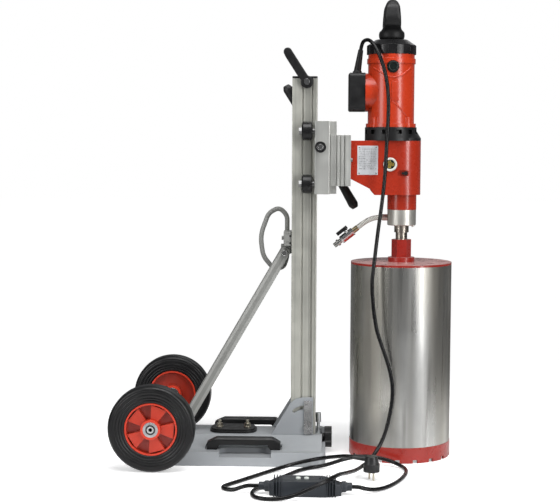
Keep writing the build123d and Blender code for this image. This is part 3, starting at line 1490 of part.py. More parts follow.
with BuildPart() as water_valve:
    # brass union on the swivel
    with BuildSketch(Plane.YZ.offset(SPINDLE_X - COLLAR_DIA / 2 + 10)):
        with Locations((0, 575.5)):
            Circle(5)
    extrude(amount=-12)
    with BuildSketch(Plane.YZ.offset(SPINDLE_X - COLLAR_DIA / 2 + 0.4)):
        with Locations((0, 575.5)):
            RegularPolygon(7.5, 6, major_radius=False)
    extrude(amount=188 - SPINDLE_X + COLLAR_DIA / 2 - 0.4)
    # brass ferrule on the hose, valve body, end nut and plug nipple
    with BuildSketch(along_valve(0)):
        Circle(7)
    extrude(amount=FERRULE_LENGTH)
    with BuildSketch(along_valve(FERRULE_LENGTH)):
        RegularPolygon(9, 8, major_radius=False)
    extrude(amount=VALVE_LENGTH)
    stem_foot = valve_start + valve_axis * (FERRULE_LENGTH + STEM_AT) + valve_up * 6
    with BuildSketch(plane_at(stem_foot, valve_up)):
        Circle(5)
    extrude(amount=7)
    with BuildSketch(along_valve(FERRULE_LENGTH + VALVE_LENGTH)):
        Circle(6)
    extrude(amount=NIPPLE_LENGTH)
    with BuildSketch(along_valve(FERRULE_LENGTH + VALVE_LENGTH + 7)):
        Circle(8.5)
    extrude(amount=5)
    with Locations(along_valve(FERRULE_LENGTH + VALVE_LENGTH + NIPPLE_LENGTH)):
        Hole(3.5, depth=16)
save(water_valve.part, "water_valve")

lever_foot = valve_start + valve_axis * (FERRULE_LENGTH + STEM_AT) + valve_up * 13.3

with BuildPart() as valve_lever:
    lever_plane = Plane(origin=lever_foot, x_dir=valve_axis, z_dir=valve_up)
    with BuildSketch(lever_plane):
        with Locations((7, 0)):
            SlotCenterToCenter(18, 13)
    extrude(amount=8)
    with BuildSketch(lever_plane.offset(-0.3)):
        Circle(4)
    extrude(amount=1)
save(valve_lever.part, "valve_lever")

# ---------------------------------------------------------------- cords, safety switch box and plug

box_mid = (sum(SAFETY_BOX_X) / 2, sum(SAFETY_BOX_Y) / 2)
gland_ends = (SAFETY_BOX_X[0] - GLAND_LENGTH, SAFETY_BOX_X[1] + GLAND_LENGTH)
BUTTON_DIA = 11
BUTTONS_X = (-4, 14)

with BuildPart() as safety_box:
    with BuildSketch(Plane.XY):
        with BuildLine():
            Polyline(
                (SAFETY_BOX_X[0], box_mid[1] - 17),
                (SAFETY_BOX_X[0] + 26, SAFETY_BOX_Y[0]),
                (SAFETY_BOX_X[1] - 34, SAFETY_BOX_Y[0]),
                (SAFETY_BOX_X[1], box_mid[1] - 15),
                (SAFETY_BOX_X[1], box_mid[1] + 15),
                (SAFETY_BOX_X[1] - 34, SAFETY_BOX_Y[1]),
                (SAFETY_BOX_X[0] + 26, SAFETY_BOX_Y[1]),
                (SAFETY_BOX_X[0], box_mid[1] + 17),
                close=True,
            )
        make_face()
    extrude(amount=SAFETY_BOX_HEIGHT)
    with BuildSketch(Plane.XZ.offset(-SAFETY_BOX_Y[1] - 10)):
        with BuildLine():
            Polyline(
                (SAFETY_BOX_X[0], 0),
                (SAFETY_BOX_X[0], 25),
                (SAFETY_BOX_X[0] + 26, SAFETY_BOX_HEIGHT),
                (SAFETY_BOX_X[1] - 40, SAFETY_BOX_HEIGHT),
                (SAFETY_BOX_X[1], 24),
                (SAFETY_BOX_X[1], 0),
                close=True,
            )
        make_face()
    extrude(amount=SAFETY_BOX_Y[1] - SAFETY_BOX_Y[0] + 20, mode=Mode.INTERSECT)
    for end, outward in ((SAFETY_BOX_X[0], -1), (SAFETY_BOX_X[1], 1)):
        with BuildSketch(Plane.YZ.offset(end)):
            with Locations((box_mid[1], GLAND_Z)):
                RegularPolygon(11, 6, major_radius=False)
        extrude(amount=outward * 10)
        with BuildSketch(Plane.YZ.offset(end + outward * 10)):
            with Locations((box_mid[1], GLAND_Z)):
                Circle(9)
        extrude(amount=outward * (GLAND_LENGTH - 10))
    with Locations(*[(x, box_mid[1], SAFETY_BOX_HEIGHT) for x in BUTTONS_X]):
        Hole(BUTTON_DIA / 2 + GAP, depth=6)
    with BuildSketch(Plane.XY.offset(SAFETY_BOX_HEIGHT)):
        with Locations((46, box_mid[1])):
            Circle(4)
    extrude(amount=4)
save(safety_box.part, "safety_box")

for x, name in zip(BUTTONS_X, ("test_button", "reset_button")):
    with BuildPart() as button:
        with BuildSketch(Plane.XY.offset(SAFETY_BOX_HEIGHT - 4)):
            with Locations((x, box_mid[1])):
                Circle(BUTTON_DIA / 2)
        extrude(amount=7)
        chamfer(button.faces().sort_by(Axis.Z)[-1].edges(), 1)
    save(button.part, name)

plug_mid = Vector(*PLUG_AT)
plug_base = PIN_LENGTH
CORD_IN = (117, -260, 48)  # where the supply cord enters the plug's relief
relief_end = Vector(141, -270.4, 48)

with BuildPart() as mains_plug:
    with BuildSketch(Plane.XY.offset(plug_base)):
        with Locations(PLUG_AT):
            Circle(PLUG_DIA / 2)
    extrude(amount=18)
    with BuildSketch(Plane.XY.offset(plug_base + 18)):
        with Locations(PLUG_AT):
            Circle(PLUG_DIA / 2 - 2)
    extrude(amount=17, taper=12)
    with BuildSketch(plane_at(CORD_IN, relief_end - Vector(*CORD_IN))):
        Circle(5.6)
    with BuildSketch(plane_at(relief_end + (relief_end - Vector(*CORD_IN)) * 0.3, relief_end - Vector(*CORD_IN))):
        Circle(7.5)
    loft()
    for turn in (63, 243):
        with BuildSketch(Plane.XY):
            with Locations(PLUG_AT):
                with Locations((9.5 * cos(radians(turn)), -9.5 * sin(radians(turn)))):
                    Circle(PIN_DIA / 2)
        extrude(amount=PIN_LENGTH)
save(mains_plug.part, "mains_plug")

# The motor's cord comes over from its strain relief, hangs down in front of the motor and the core bit,
# lies across the right end of the safety box, turns round its left end and comes back to its right gland.
motor_cord_points = [
    RELIEF_TIP,
    (134.3, -12.92, 988),
    (139.5, -22, 997.5),
    (151, -40, 998.5),
    (163, -55, 985),
    (175, -66, 961),
    (186, -72, 930),
    (194, -75, 893),
    (197.5, -76, 845),
    (195.5, -77, 788),
    (192.5, -79, 732),
    (189.5, -84, 670),
    (183, -92, 611),
    (175, -103, 556),
    (169.5, -119, 514),
    (164, -131.5, 468),
    (158.9, -135, 424),
    (163.4, -135.6, 378),
]
floor_cord_points = [
    (163.4, -135.6, 378),
    (167.8, -136.187, 333),
    (182.4, -138, 287),
    (198, -140, 245),
    (208, -142, 207),
    (210.8, -144.5, 172),
    (207, -148, 137),
    (199, -154, 98),
    (187, -164, 64),
    (172, -178, 41),
    (159, -197, 28),
    (145.5, -219, 21.5),
    (132, -246, 18.5),
    (120, -279, 20.5),
    (108, -317, 26.5),
    (97.5, -357, 34),
    (86.5, -393, 41),
    (71, -424, 41.5),
    (53, -443, 36),
    (34.5, -453, 29),
    (13, -460, 21),
    (-9, -465, 12),
    (-32, -468, 6.5),
    (-56, -471, 4.6),
    (-79, -468, 4.6),
    (-95, -455, 4.6),
    (-103, -433, 4.6),
    (-102, -405, 4.6),
    (-92, -378, 4.6),
    (-72, -341, 4.6),
    (-41, -281, 4.6),
    (-10, -222, 4.6),
    (16, -194, 5),
    (45, -182.5, 6.5),
    (73, -164, 10.5),
    (97, -147, 15),
    (124, -137, 18.5),
    (152, -134.5, 20.5),
    (181, -139, 18),
    (207, -147.5, 12.5),
    (226, -160, 7),
    (238, -181, 4.6),
    (241, -213, 4.6),
    (233, -258, 4.6),
    (216, -309, 4.6),
    (191, -357, 4.6),
    (165, -387, 6),
    (142, -402.5, 11),
    (126, -407, 17),
    (gland_ends[1], box_mid[1], GLAND_Z),
]
# The supply cord folds back behind its gland and rises over the motor's cord to the plug.
supply_cord_points = [
    (gland_ends[0], box_mid[1], GLAND_Z),
    (-100, -407, 17),
    (-112, -406.5, 17),
    (-127, -404.5, 12.5),
    (-142, -401, 6),
    (-156, -395.5, 4.6),
    (-167, -386, 4.6),
    (-169.5, -371, 4.6),
    (-159, -353, 4.6),
    (-138, -323, 4.6),
    (-109, -281, 4.6),
    (-74, -229, 4.6),
    (-40, -197, 8),
    (-8, -184.5, 14.5),
    (20, -184, 21),
    (46, -192.5, 28),
    (68, -212, 35.5),
    (88, -236, 43),
    (102, -253.5, 48),
    CORD_IN,
]
for name, points in (
    ("motor_cord", motor_cord_points),
    ("floor_cord", floor_cord_points),
    ("supply_cord", supply_cord_points),
):
    radii = cord_path(points)
    with BuildPart() as cord:
        with BuildLine():
            FilletPolyline(*points, radius=radii)
        with BuildSketch(plane_at(points[0], Vector(*points[1]) - Vector(*points[0]))):
            Circle(CORD_DIA / 2)
        sweep()
    save(cord.part, name)
    report_cord(name, radii, cord.part, CORD_DIA)
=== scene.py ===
# %% [markdown]
# # Core drill rig
# A wheeled stand carries a wet drill motor with a large core bit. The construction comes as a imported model: every
# metal and plastic part is already there at its real size. This lesson gives it its looks: soft moulded shapes,
# cords, small trim, and a finish for every surface. All places are in metres, with X towards the core bit, Y away
# from the camera and Z up. Sizes written in millimetres are multiplied by `MM`.

from math import atan2, cos, pi, radians, sin

import bpy
from mathutils import Matrix, Vector


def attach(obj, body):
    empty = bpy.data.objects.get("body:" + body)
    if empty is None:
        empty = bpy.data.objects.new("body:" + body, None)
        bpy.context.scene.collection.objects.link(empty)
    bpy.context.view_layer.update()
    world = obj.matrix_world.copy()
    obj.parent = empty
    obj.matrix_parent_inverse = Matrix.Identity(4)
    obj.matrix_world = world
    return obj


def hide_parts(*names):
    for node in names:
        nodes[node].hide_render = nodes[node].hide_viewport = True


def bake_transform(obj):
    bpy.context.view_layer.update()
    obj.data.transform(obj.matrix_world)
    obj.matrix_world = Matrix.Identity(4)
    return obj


MM = 0.001
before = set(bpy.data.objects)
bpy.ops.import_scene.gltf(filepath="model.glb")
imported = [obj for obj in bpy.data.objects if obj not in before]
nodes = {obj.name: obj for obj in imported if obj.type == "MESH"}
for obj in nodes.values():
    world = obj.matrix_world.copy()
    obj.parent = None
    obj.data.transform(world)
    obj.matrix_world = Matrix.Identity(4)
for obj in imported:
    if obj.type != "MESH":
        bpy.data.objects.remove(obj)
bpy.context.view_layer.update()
bpy.ops.object.select_all(action="DESELECT")
scene = bpy.context.scene

# %% [markdown]
# ## Camera
# A long lens from about three metres keeps the column and the core bit upright and hardly tapered. The camera looks
# a little down and is turned a little to the left. Its three axes are worked out from those angles, and a camera
# looks along its own negative Z.

# %% Camera
CAMERA_AT = Vector((0.0488, -3.2323, 0.7483))
LOOK_DOWN = 0.0798
LOOK_LEFT = 0.0333
CAMERA_ROLL = 0.0043

look = Vector((-sin(LOOK_LEFT) * cos(LOOK_DOWN), cos(LOOK_LEFT) * cos(LOOK_DOWN), -sin(LOOK_DOWN)))
level = Vector((cos(LOOK_LEFT), sin(LOOK_LEFT), 0))
upright = level.cross(look)
side_axis = level * cos(CAMERA_ROLL) + upright * sin(CAMERA_ROLL)
up_axis = upright * cos(CAMERA_ROLL) - level * sin(CAMERA_ROLL)
bpy.ops.object.camera_add(location=CAMERA_AT)
camera = bpy.context.object
camera.matrix_world = Matrix.Translation(CAMERA_AT) @ Matrix((side_axis, up_axis, -look)).transposed().to_4x4()
camera.data.lens = 85.85
camera.data.sensor_width = 36
camera.data.clip_end = 50
scene.camera = camera
scene.view_settings.view_transform = "Standard"
print("camera at", [round(v, 3) for v in CAMERA_AT])

# %% [markdown]
# ## Floor and light
# The stand is shown on a white studio floor that runs into a white background. A plain white world would make
# polished steel look flat, because a mirror only shows what is around it. So the backdrop is white where it is seen
# directly, the room that lights the rig and shows in its metal is grey with dark sides, and large soft lamps draw the
# bright bands in the metal.

# %% Floor
bpy.ops.mesh.primitive_plane_add(size=30, location=(0, 0, -0.0003))
floor = bpy.context.object
floor.name = "studio_floor"
print("floor laid")

# %% Lamps
def soft_lamp(name, place, target, size, power, tint=(1, 1, 1)):
    """A rectangular lamp that points at a target."""
    bpy.ops.object.light_add(type="AREA", location=place)
    lamp = bpy.context.object
    lamp.name = name
    lamp.data.shape = "RECTANGLE"
    lamp.data.size, lamp.data.size_y = size
    lamp.data.energy = power
    lamp.data.color = tint
    aim = Vector(target) - Vector(place)
    lamp.rotation_euler = aim.to_track_quat("-Z", "Y").to_euler()
    lamp.visible_camera = False
    return lamp


RIG_MIDDLE = (0.05, 0, 0.55)
soft_lamp("lamp_top", (0.2, -0.9, 2.9), RIG_MIDDLE, (2.4, 1.6), 70)
soft_lamp("lamp_front_right", (1.9, -2.1, 1.5), RIG_MIDDLE, (0.7, 1.8), 42)
soft_lamp("lamp_front_left", (-2.0, -1.8, 1.3), RIG_MIDDLE, (0.9, 1.8), 34)
soft_lamp("lamp_back", (0.6, 2.2, 1.9), RIG_MIDDLE, (2.0, 1.2), 7)
soft_lamp("lamp_tube_band", (1.55, -1.35, 0.45), (0.235, 0, 0.25), (0.28, 0.9), 8)
print("five lamps")

# %% [markdown]
# ### The room
# The world is a grey room. The share of back and front is taken from the direction's Y, and the dark sides from its X.
# What the camera sees directly is white.

# %% World
SKY_BACK = (0.16, 0.163, 0.166)
SKY_FRONT = (0.15, 0.153, 0.156)
SKY_SIDE = (0.03, 0.03, 0.033)
BACK_STARTS, BACK_FULL = 0.42, 0.62
SIDE_STARTS, SIDE_FULL = 0.72, 0.93

scene.world = bpy.data.worlds.new("studio")
scene.world.use_nodes = True
sky = scene.world.node_tree
sky.nodes.clear()
sky_out = sky.nodes.new("ShaderNodeOutputWorld")
sky_light = sky.nodes.new("ShaderNodeBackground")
direction = sky.nodes.new("ShaderNodeTexCoord")
split = sky.nodes.new("ShaderNodeSeparateXYZ")
side = sky.nodes.new("ShaderNodeMath")
side.operation = "ABSOLUTE"
back_ramp = sky.nodes.new("ShaderNodeValToRGB")
back_ramp.color_ramp.elements[0].position = BACK_STARTS
back_ramp.color_ramp.elements[0].color = (*SKY_FRONT, 1)
back_ramp.color_ramp.elements[1].position = BACK_FULL
back_ramp.color_ramp.elements[1].color = (*SKY_BACK, 1)
back_share = sky.nodes.new("ShaderNodeMapRange")
back_share.inputs["From Min"].default_value = -1
side_ramp = sky.nodes.new("ShaderNodeMapRange")
side_ramp.interpolation_type = "SMOOTHSTEP"
side_ramp.inputs["From Min"].default_value = SIDE_STARTS
side_ramp.inputs["From Max"].default_value = SIDE_FULL
mix = sky.nodes.new("ShaderNodeMix")
mix.data_type = "RGBA"
mix.inputs["B"].default_value = (*SKY_SIDE, 1)
sky.links.new(direction.outputs["Generated"], split.inputs[0])
sky.links.new(split.outputs["Y"], back_share.inputs["Value"])
sky.links.new(back_share.outputs[0], back_ramp.inputs[0])
sky.links.new(split.outputs["X"], side.inputs[0])
sky.links.new(side.outputs[0], side_ramp.inputs["Value"])
sky.links.new(side_ramp.outputs[0], mix.inputs["Factor"])
sky.links.new(back_ramp.outputs[0], mix.inputs["A"])
ray = sky.nodes.new("ShaderNodeLightPath")
backdrop = sky.nodes.new("ShaderNodeMix")
backdrop.data_type = "RGBA"
backdrop.inputs["B"].default_value = (1, 1, 1, 1)
sky.links.new(ray.outputs["Is Camera Ray"], backdrop.inputs["Factor"])
sky.links.new(mix.outputs["Result"], backdrop.inputs["A"])
sky.links.new(backdrop.outputs["Result"], sky_light.inputs["Color"])
sky.links.new(sky_light.outputs[0], sky_out.inputs["Surface"])
print("world: a white backdrop, lit by a grey room with dark sides")

# %% [markdown]
# ## Writing shaders as expressions
# A material is a tree of nodes. Wiring it by hand takes a line for every link, so two small helpers turn it into
# ordinary Python. `Signal` wraps a socket, and `a * b + 1` adds the Math nodes. `Finish` is one material: its
# `node` method adds any other node from its type, its settings and what goes into its sockets.

# %% Signals
class Signal:
    """A socket whose sums and products become Math nodes."""

    def __init__(self, tree, socket):
        self.tree = tree
        self.socket = socket

    def math(self, operation, *others):
        """This signal and the others through one Math node."""
        step = self.tree.nodes.new("ShaderNodeMath")
        step.operation = operation
        for place, value in enumerate((self, *others)):
            if isinstance(value, Signal):
                self.tree.links.new(value.socket, step.inputs[place])
            else:
                step.inputs[place].default_value = value
        return Signal(self.tree, step.outputs[0])

    def __add__(self, other):
        return self.math("ADD", other)

    __radd__ = __add__

    def __mul__(self, other):
        return self.math("MULTIPLY", other)

    __rmul__ = __mul__

    def __sub__(self, other):
        return self.math("SUBTRACT", other)

    def __rsub__(self, other):
        return (self * -1) + other

    def __gt__(self, other):
        return self.math("GREATER_THAN", other)

    def __lt__(self, other):
        return self.math("LESS_THAN", other)

    def clamp(self):
        """The signal kept between 0 and 1."""
        return self.math("MINIMUM", 1.0).math("MAXIMUM", 0.0)

# %% Finishes
class Finish:
    """A material that grows one node at a time."""

    def __init__(self, name, **sockets):
        self.material = bpy.data.materials.new(name)
        self.material.use_nodes = True
        self.tree = self.material.node_tree
        self.tree.nodes.clear()
        output = self.tree.nodes.new("ShaderNodeOutputMaterial")
        self.shader = self.tree.nodes.new("ShaderNodeBsdfPrincipled")
        self.tree.links.new(self.shader.outputs[0], output.inputs["Surface"])
        self.set(**sockets)

    def feed(self, socket, value):
        """A value or a signal into one socket."""
        if isinstance(value, Signal):
            self.tree.links.new(value.socket, socket)
        elif hasattr(value, "__len__") and len(value) == 3 and socket.type == "RGBA":
            socket.default_value = (*value, 1)
        else:
            socket.default_value = value

    def set(self, **sockets):
        """Sockets of the main shader, with underscores for the spaces in their names."""
        for name, value in sockets.items():
            self.feed(self.shader.inputs[name.replace("_", " ")], value)

    def node(self, kind, settings=None, output=0, ports=None, **sockets):
        """Any node: settings first, then sockets by number or name, and one of its outputs as a signal."""
        step = self.tree.nodes.new("ShaderNode" + kind)
        for name, value in (settings or {}).items():
            setattr(step, name, value)
        for number, value in (ports or {}).items():
            self.feed(step.inputs[number], value)
        for name, value in sockets.items():
            self.feed(step.inputs[name.replace("_", " ")], value)
        return Signal(self.tree, step.outputs[output])

    def place(self, scale=(1, 1, 1), turn=(0, 0, 0), move=(0, 0, 0)):
        """Object coordinates, stretched, turned or moved."""
        here = self.node("TexCoord", output="Object")
        return self.node("Mapping", Vector=here, Scale=scale, Rotation=turn, Location=move)

    def axes(self, at=(0, 0, 0)):
        """The three object coordinates as signals, measured from a point."""
        moved = self.place(move=tuple(-value for value in at))
        step = self.tree.nodes.new("ShaderNodeSeparateXYZ")
        self.tree.links.new(moved.socket, step.inputs[0])
        return [Signal(self.tree, out) for out in step.outputs]

    def noise(self, scale, detail=3, stretch=(1, 1, 1), low=0.3, high=0.7, turn=(0, 0, 0)):
        """Cloudy noise, spread out between 0 and 1."""
        cloud = self.node("TexNoise", Vector=self.place(stretch, turn), Scale=scale, Detail=detail)
        return self.node("MapRange", Value=cloud, From_Min=low, From_Max=high)

    def edges(self, radius):
        """A normal with rounded edges, and a mask that is 1 along those edges."""
        rounded = self.node("Bevel", {"samples": 4}, output="Normal", Radius=radius)
        flat = self.node("NewGeometry", output="Normal")
        agree = self.node("VectorMath", {"operation": "DOT_PRODUCT"}, "Value", {0: rounded, 1: flat})
        return rounded, self.node("MapRange", Value=agree, From_Min=0.99, From_Max=0.8)

    def mixed(self, share, a, b):
        """Colour a where the share is 0 and b where it is 1."""
        return self.node("MixRGB", Fac=share, Color1=a, Color2=b)


print("shader helpers ready")

# %% [markdown]
# ## Finishes
# Three habits make a flat colour into a material. Its colour drifts a little over some centimetres, because paint
# and plastic are never perfectly even. Its roughness changes more than its colour, because handling polishes some
# places and dulls others. Its edges are rounded in the normal, so that every edge of the sharp metal parts catches
# a thin line of light. On paint the edges are a little lighter or worn through in patches, and on bare metal a
# lighter colour along every edge is a painted highlight.

# %% Plastics, rubber and paint
def shade(colour, factor):
    """A colour made lighter or darker."""
    return tuple(min(value * factor, 1) for value in colour)


DUST = (0.3, 0.29, 0.27)


def coated(
    name,
    colour,
    roughness,
    edge=0.8,
    grain=0.1,
    drift=0.12,
    worn=None,
    coat=0.0,
    dust=0.0,
    dust_tone=DUST,
    gloss=0.32,
    smear=0.16,
):
    """Paint, plastic or rubber: uneven colour, smudged gloss, rounded and slightly worn edges."""
    f = Finish(name, Coat_Weight=coat, Coat_Roughness=0.12, Specular_IOR_Level=gloss)
    rounded, rim = f.edges(edge * MM)
    tone = f.noise(14, 4)
    smudge = f.noise(55, 5, low=0.35, high=0.65)
    base = f.mixed(tone, shade(colour, 1 - drift), shade(colour, 1 + drift))
    wear = (rim * f.noise(260, 4, low=0.42, high=0.6)).clamp()
    base = f.mixed(wear * 0.4, base, worn or shade(colour, 1.4))
    if dust:
        facing = f.node("SeparateXYZ", output="Z", ports={0: f.node("NewGeometry", output="Normal")})
        base = f.mixed((facing.clamp() * (smudge * 0.5 + 0.5) * dust).clamp(), base, dust_tone)
    fine = f.node("TexNoise", Vector=f.place(), Scale=900, Detail=2)
    normal = f.node("Bump", Height=fine, Normal=rounded, Strength=grain, Distance=0.0004)
    f.set(Base_Color=base, Roughness=(smudge * smear + (roughness - smear * 0.4)).clamp(), Normal=normal)
    return f.material


BLACK = (0.0085, 0.0085, 0.009)
STAND_TONE = (0.22, 0.222, 0.212)
BARE_STEEL = (0.2, 0.19, 0.18)
PINK_DUST = (0.6, 0.42, 0.4)
ENAMEL = {"edge": 1.4, "grain": 0.03, "drift": 0.025, "coat": 0.2}

black_plastic = coated("black_plastic", BLACK, 0.4, worn=(0.03, 0.03, 0.03), dust=0.012)
soft_black = coated("soft_black_grip", BLACK, 0.46, edge=1.6, grain=0.2, dust=0.01)
cap_black = coated("motor_cap_black", BLACK, 0.26, edge=1.2, worn=(0.05, 0.05, 0.05))
sheath = coated("cord_sheath", (0.003, 0.003, 0.0034), 0.27, grain=0.04, smear=0.06, gloss=0.24)
tyre_black = coated("tyre_rubber", (0.005, 0.005, 0.0055), 0.36, edge=0.6, grain=0.08)
box_grey = coated("safety_box_grey", (0.022, 0.026, 0.032), 0.4, edge=1.2, grain=0.25, dust=0.04)
brush_green = coated("brush_cap_dark", (0.006, 0.010, 0.009), 0.26, edge=1.0)
roller_black = coated("roller_nylon", BLACK, 0.3, edge=1.0)
motor_red = coated("motor_red", (0.46, 0.036, 0.010), 0.26, smear=0.05, **ENAMEL)
housing_red = coated("gear_housing_red", (0.34, 0.024, 0.009), 0.26, smear=0.06, **ENAMEL)
bit_red = coated("core_bit_red", (0.27, 0.017, 0.011), 0.3, coat=0.3, worn=BARE_STEEL, dust=0.7, dust_tone=PINK_DUST)
base_grey = coated("base_grey_paint", (0.28, 0.295, 0.31), 0.4, edge=1.5, grain=0.22, drift=0.05, dust=0.12)
stand_grey = coated("stand_grey_paint", STAND_TONE, 0.36, edge=1.2, grain=0.12, drift=0.05)
button_white = coated("button_white", (0.62, 0.66, 0.62), 0.35, edge=0.8, drift=0.03)
print("coated finishes:", len(bpy.data.materials))

# %% [markdown]
# ### Metals
# Metal shows fine lines from drawing or turning. They are noise that is squeezed along the line's direction, as a bump
# and a little in the colour. Drawn profiles also have a few broad darker lines.

# %% Metals
def metal(name, colour, roughness, edge=0.5, along=(1, 1, 1), lines=0.5, spread=0.14, metallic=1.0, drawn=0.0):
    """Bare or plated metal with fine working lines that run along the stretched axis, and a painted highlight on its
    edges.
    """
    f = Finish(name)
    rounded, rim = f.edges(edge * MM)
    brushed = f.node("TexNoise", Vector=f.place(along), Scale=420, Detail=3)
    cloud = f.noise(22, 4)
    base = f.mixed(cloud, shade(colour, 1 - spread), shade(colour, 1 + spread))
    base = f.mixed((brushed * 0.35).clamp(), base, shade(colour, 0.7))
    if drawn:
        base = f.mixed(f.noise(95, 2, (1, 0.3, 0.004), 0.5, 0.62) * drawn, base, shade(colour, 0.45))
    # A lighter colour along every edge: a painted highlight where the edge catches light.
    base = f.mixed(rim * 0.3, base, shade(colour, 1.35))
    normal = f.node("Bump", Height=brushed, Normal=rounded, Strength=lines, Distance=0.00012)
    f.set(Base_Color=base, Metallic=metallic, Roughness=(cloud * 0.14 + (roughness - 0.05)).clamp(), Normal=normal)
    return f.material


UPRIGHT = (1, 1, 0.02)
PROFILE = {"edge": 1.2, "along": UPRIGHT, "metallic": 0.65}
anodised = metal("anodised_profile", (0.53, 0.53, 0.48), 0.4, lines=0.5, spread=0.08, drawn=0.55, **PROFILE)
block_metal = metal("carriage_aluminium", (0.56, 0.565, 0.54), 0.4, lines=0.35, spread=0.06, drawn=0.3, **PROFILE)
zinc = metal("zinc_plate", (0.55, 0.57, 0.58), 0.34, edge=0.6, lines=0.2, spread=0.2)
chrome = metal("bright_plate", (0.44, 0.44, 0.44), 0.22, lines=0.08)
steel = metal("machined_steel", (0.42, 0.41, 0.39), 0.3, along=(1, 1, 8), lines=0.4, spread=0.2)
yellow_zinc = metal("yellow_zinc", (0.60, 0.56, 0.46), 0.32, lines=0.2, spread=0.25)
TURNED = (1, 1, 12)
swivel_metal = metal(
    "turned_aluminium", (0.55, 0.54, 0.50), 0.36, edge=0.8, along=TURNED, lines=0.35, spread=0.08, metallic=0.8
)
bolt_steel = metal("bolt_steel", (0.22, 0.22, 0.22), 0.36, edge=0.6, lines=0.1)
print("metals:", len(bpy.data.materials))

# %% [markdown]
# ### Thread and floor
# The spindle's thread is a zigzag along its height, one zigzag for each pitch, with painted shade at the bottom of
# each groove. The floor fades into the backdrop with distance, so that no horizon shows.

# %% Spindle thread finish
def thread_finish(name, colour, pitch):
    """Oiled steel with turned grooves one pitch apart, and painted shade in them."""
    f = Finish(name, Metallic=1.0)
    rounded, _ = f.edges(0.4 * MM)
    _, _, z = f.axes()
    turn = (z * (1 / pitch)).math("PINGPONG", 0.5)
    cloud = f.noise(60, 4)
    base = f.mixed(cloud, shade(colour, 0.6), shade(colour, 1.25))
    # Painted shade: the colour is darker where the zigzag is low, at the bottom of each groove.
    base = f.mixed((turn * 2).math("LESS_THAN", 0.4) * 0.5, base, shade(colour, 0.35))
    f.set(Base_Color=base, Roughness=cloud * 0.14 + 0.24)
    f.set(Normal=f.node("Bump", Height=turn, Normal=rounded, Strength=0.6, Distance=0.0008))
    return f.material


PITCH = 3.2 * MM
thread_steel = thread_finish("threaded_spindle", (0.42, 0.38, 0.33), PITCH)
print("thread pitch", PITCH)

# %% Floor finish
def floor_finish(near, far):
    """White floor that takes soft shadows near the rig, fades into the backdrop, and is grey in reflections."""
    f = Finish("white_studio_floor", Roughness=0.9, Specular_IOR_Level=0.1, Emission_Strength=1.0)
    x, y, _ = f.axes()
    reach = (x * x + y * y).math("SQRT")
    away = f.node("MapRange", {"interpolation_type": "SMOOTHSTEP"}, Value=reach, From_Min=near, From_Max=far)
    f.set(Base_Color=f.mixed(away, (0.9, 0.9, 0.9), (0, 0, 0)))
    seen = f.node("LightPath", output="Is Camera Ray")
    f.set(Emission_Color=f.mixed(seen, (0.16, 0.16, 0.16), f.mixed(away, (0.42, 0.42, 0.42), (1, 1, 1))))
    return f.material


FADE_FROM = 0.5
FADE_TO = 1.5
floor.data.materials.append(floor_finish(FADE_FROM, FADE_TO))
print("floor fades from", FADE_FROM, "to", FADE_TO)

# %% [markdown]
# ### The core tube
# The tube is rolled from sheet and polished along its length, so it carries upright bands of unequal gloss, faint
# yellow heat stains and a few grey smears from earlier holes. The broadest bands are also painted reflections: light
# and dark upright stripes in its colour. Noise on object coordinates becomes upright streaks when the height is
# squeezed to almost nothing: the pattern then only changes around the tube.

# %% Core tube finish
def core_tube_finish():
    """Polished and stained steel, with broad bands of painted reflection in its colour."""
    f = Finish("core_tube_steel", Metallic=1.0, Anisotropic=0.35)
    rounded, _ = f.edges(0.6 * MM)
    broad = f.noise(13, 2, (1, 1, 0.05), 0.38, 0.62)
    narrow = f.noise(70, 3, (1, 1, 0.03), 0.35, 0.65)
    hair = f.node("TexNoise", Vector=f.place((1, 1, 0.015)), Scale=520, Detail=3)
    patch = f.noise(7, 5, low=0.5, high=0.72)
    speck = f.noise(40, 5, (1, 1, 0.08), 0.6, 0.72)
    # The broad bands swing the colour from dark to light: painted reflections, standing upright round the tube.
    base = f.mixed(broad, (0.14, 0.141, 0.14), (0.64, 0.645, 0.635))
    base = f.mixed(narrow * 0.5, base, (0.38, 0.38, 0.37))
    base = f.mixed(f.noise(8, 3, (1, 1, 0.12), 0.5, 0.7) * 0.5, base, (0.50, 0.46, 0.36))
    base = f.mixed(patch * 0.35, base, (0.22, 0.22, 0.22))
    base = f.mixed(speck * 0.45, base, (0.12, 0.115, 0.105))
    base = f.mixed((hair * 0.4).clamp(), base, (0.34, 0.33, 0.31))
    rough = broad * -0.16 + narrow * 0.12 + patch * 0.12 + 0.36
    normal = f.node("Bump", Height=hair, Normal=rounded, Strength=0.25, Distance=0.0001)
    f.set(Base_Color=base, Roughness=rough.clamp(), Normal=normal)
    return f.material


core_steel = core_tube_finish()
print("core tube finish ready")

# %% [markdown]
# ### Finishes that change along a part
# Some parts are one piece of metal in the model but show two or three finishes. The ball valve has a brass ferrule,
# a chromed body with a red stripe and a steel nipple. The mask is a distance along the part's own axis, measured in
# object coordinates, so it stays put when the part moves.

# %% Valve finish
VALVE_AXIS = Vector((-0.781, 0, -0.6247)).normalized()
VALVE_UP = Vector((VALVE_AXIS.z, 0, -VALVE_AXIS.x))
VALVE_AT = Vector((129, 0, 550.8)) * MM
FERRULE = 14 * MM
VALVE_BODY_END = 50 * MM


def along(f, point, axis):
    """Distance of each point of the surface along an axis, from a point."""
    x, y, z = f.axes(tuple(point))
    return x * axis.x + y * axis.y + z * axis.z


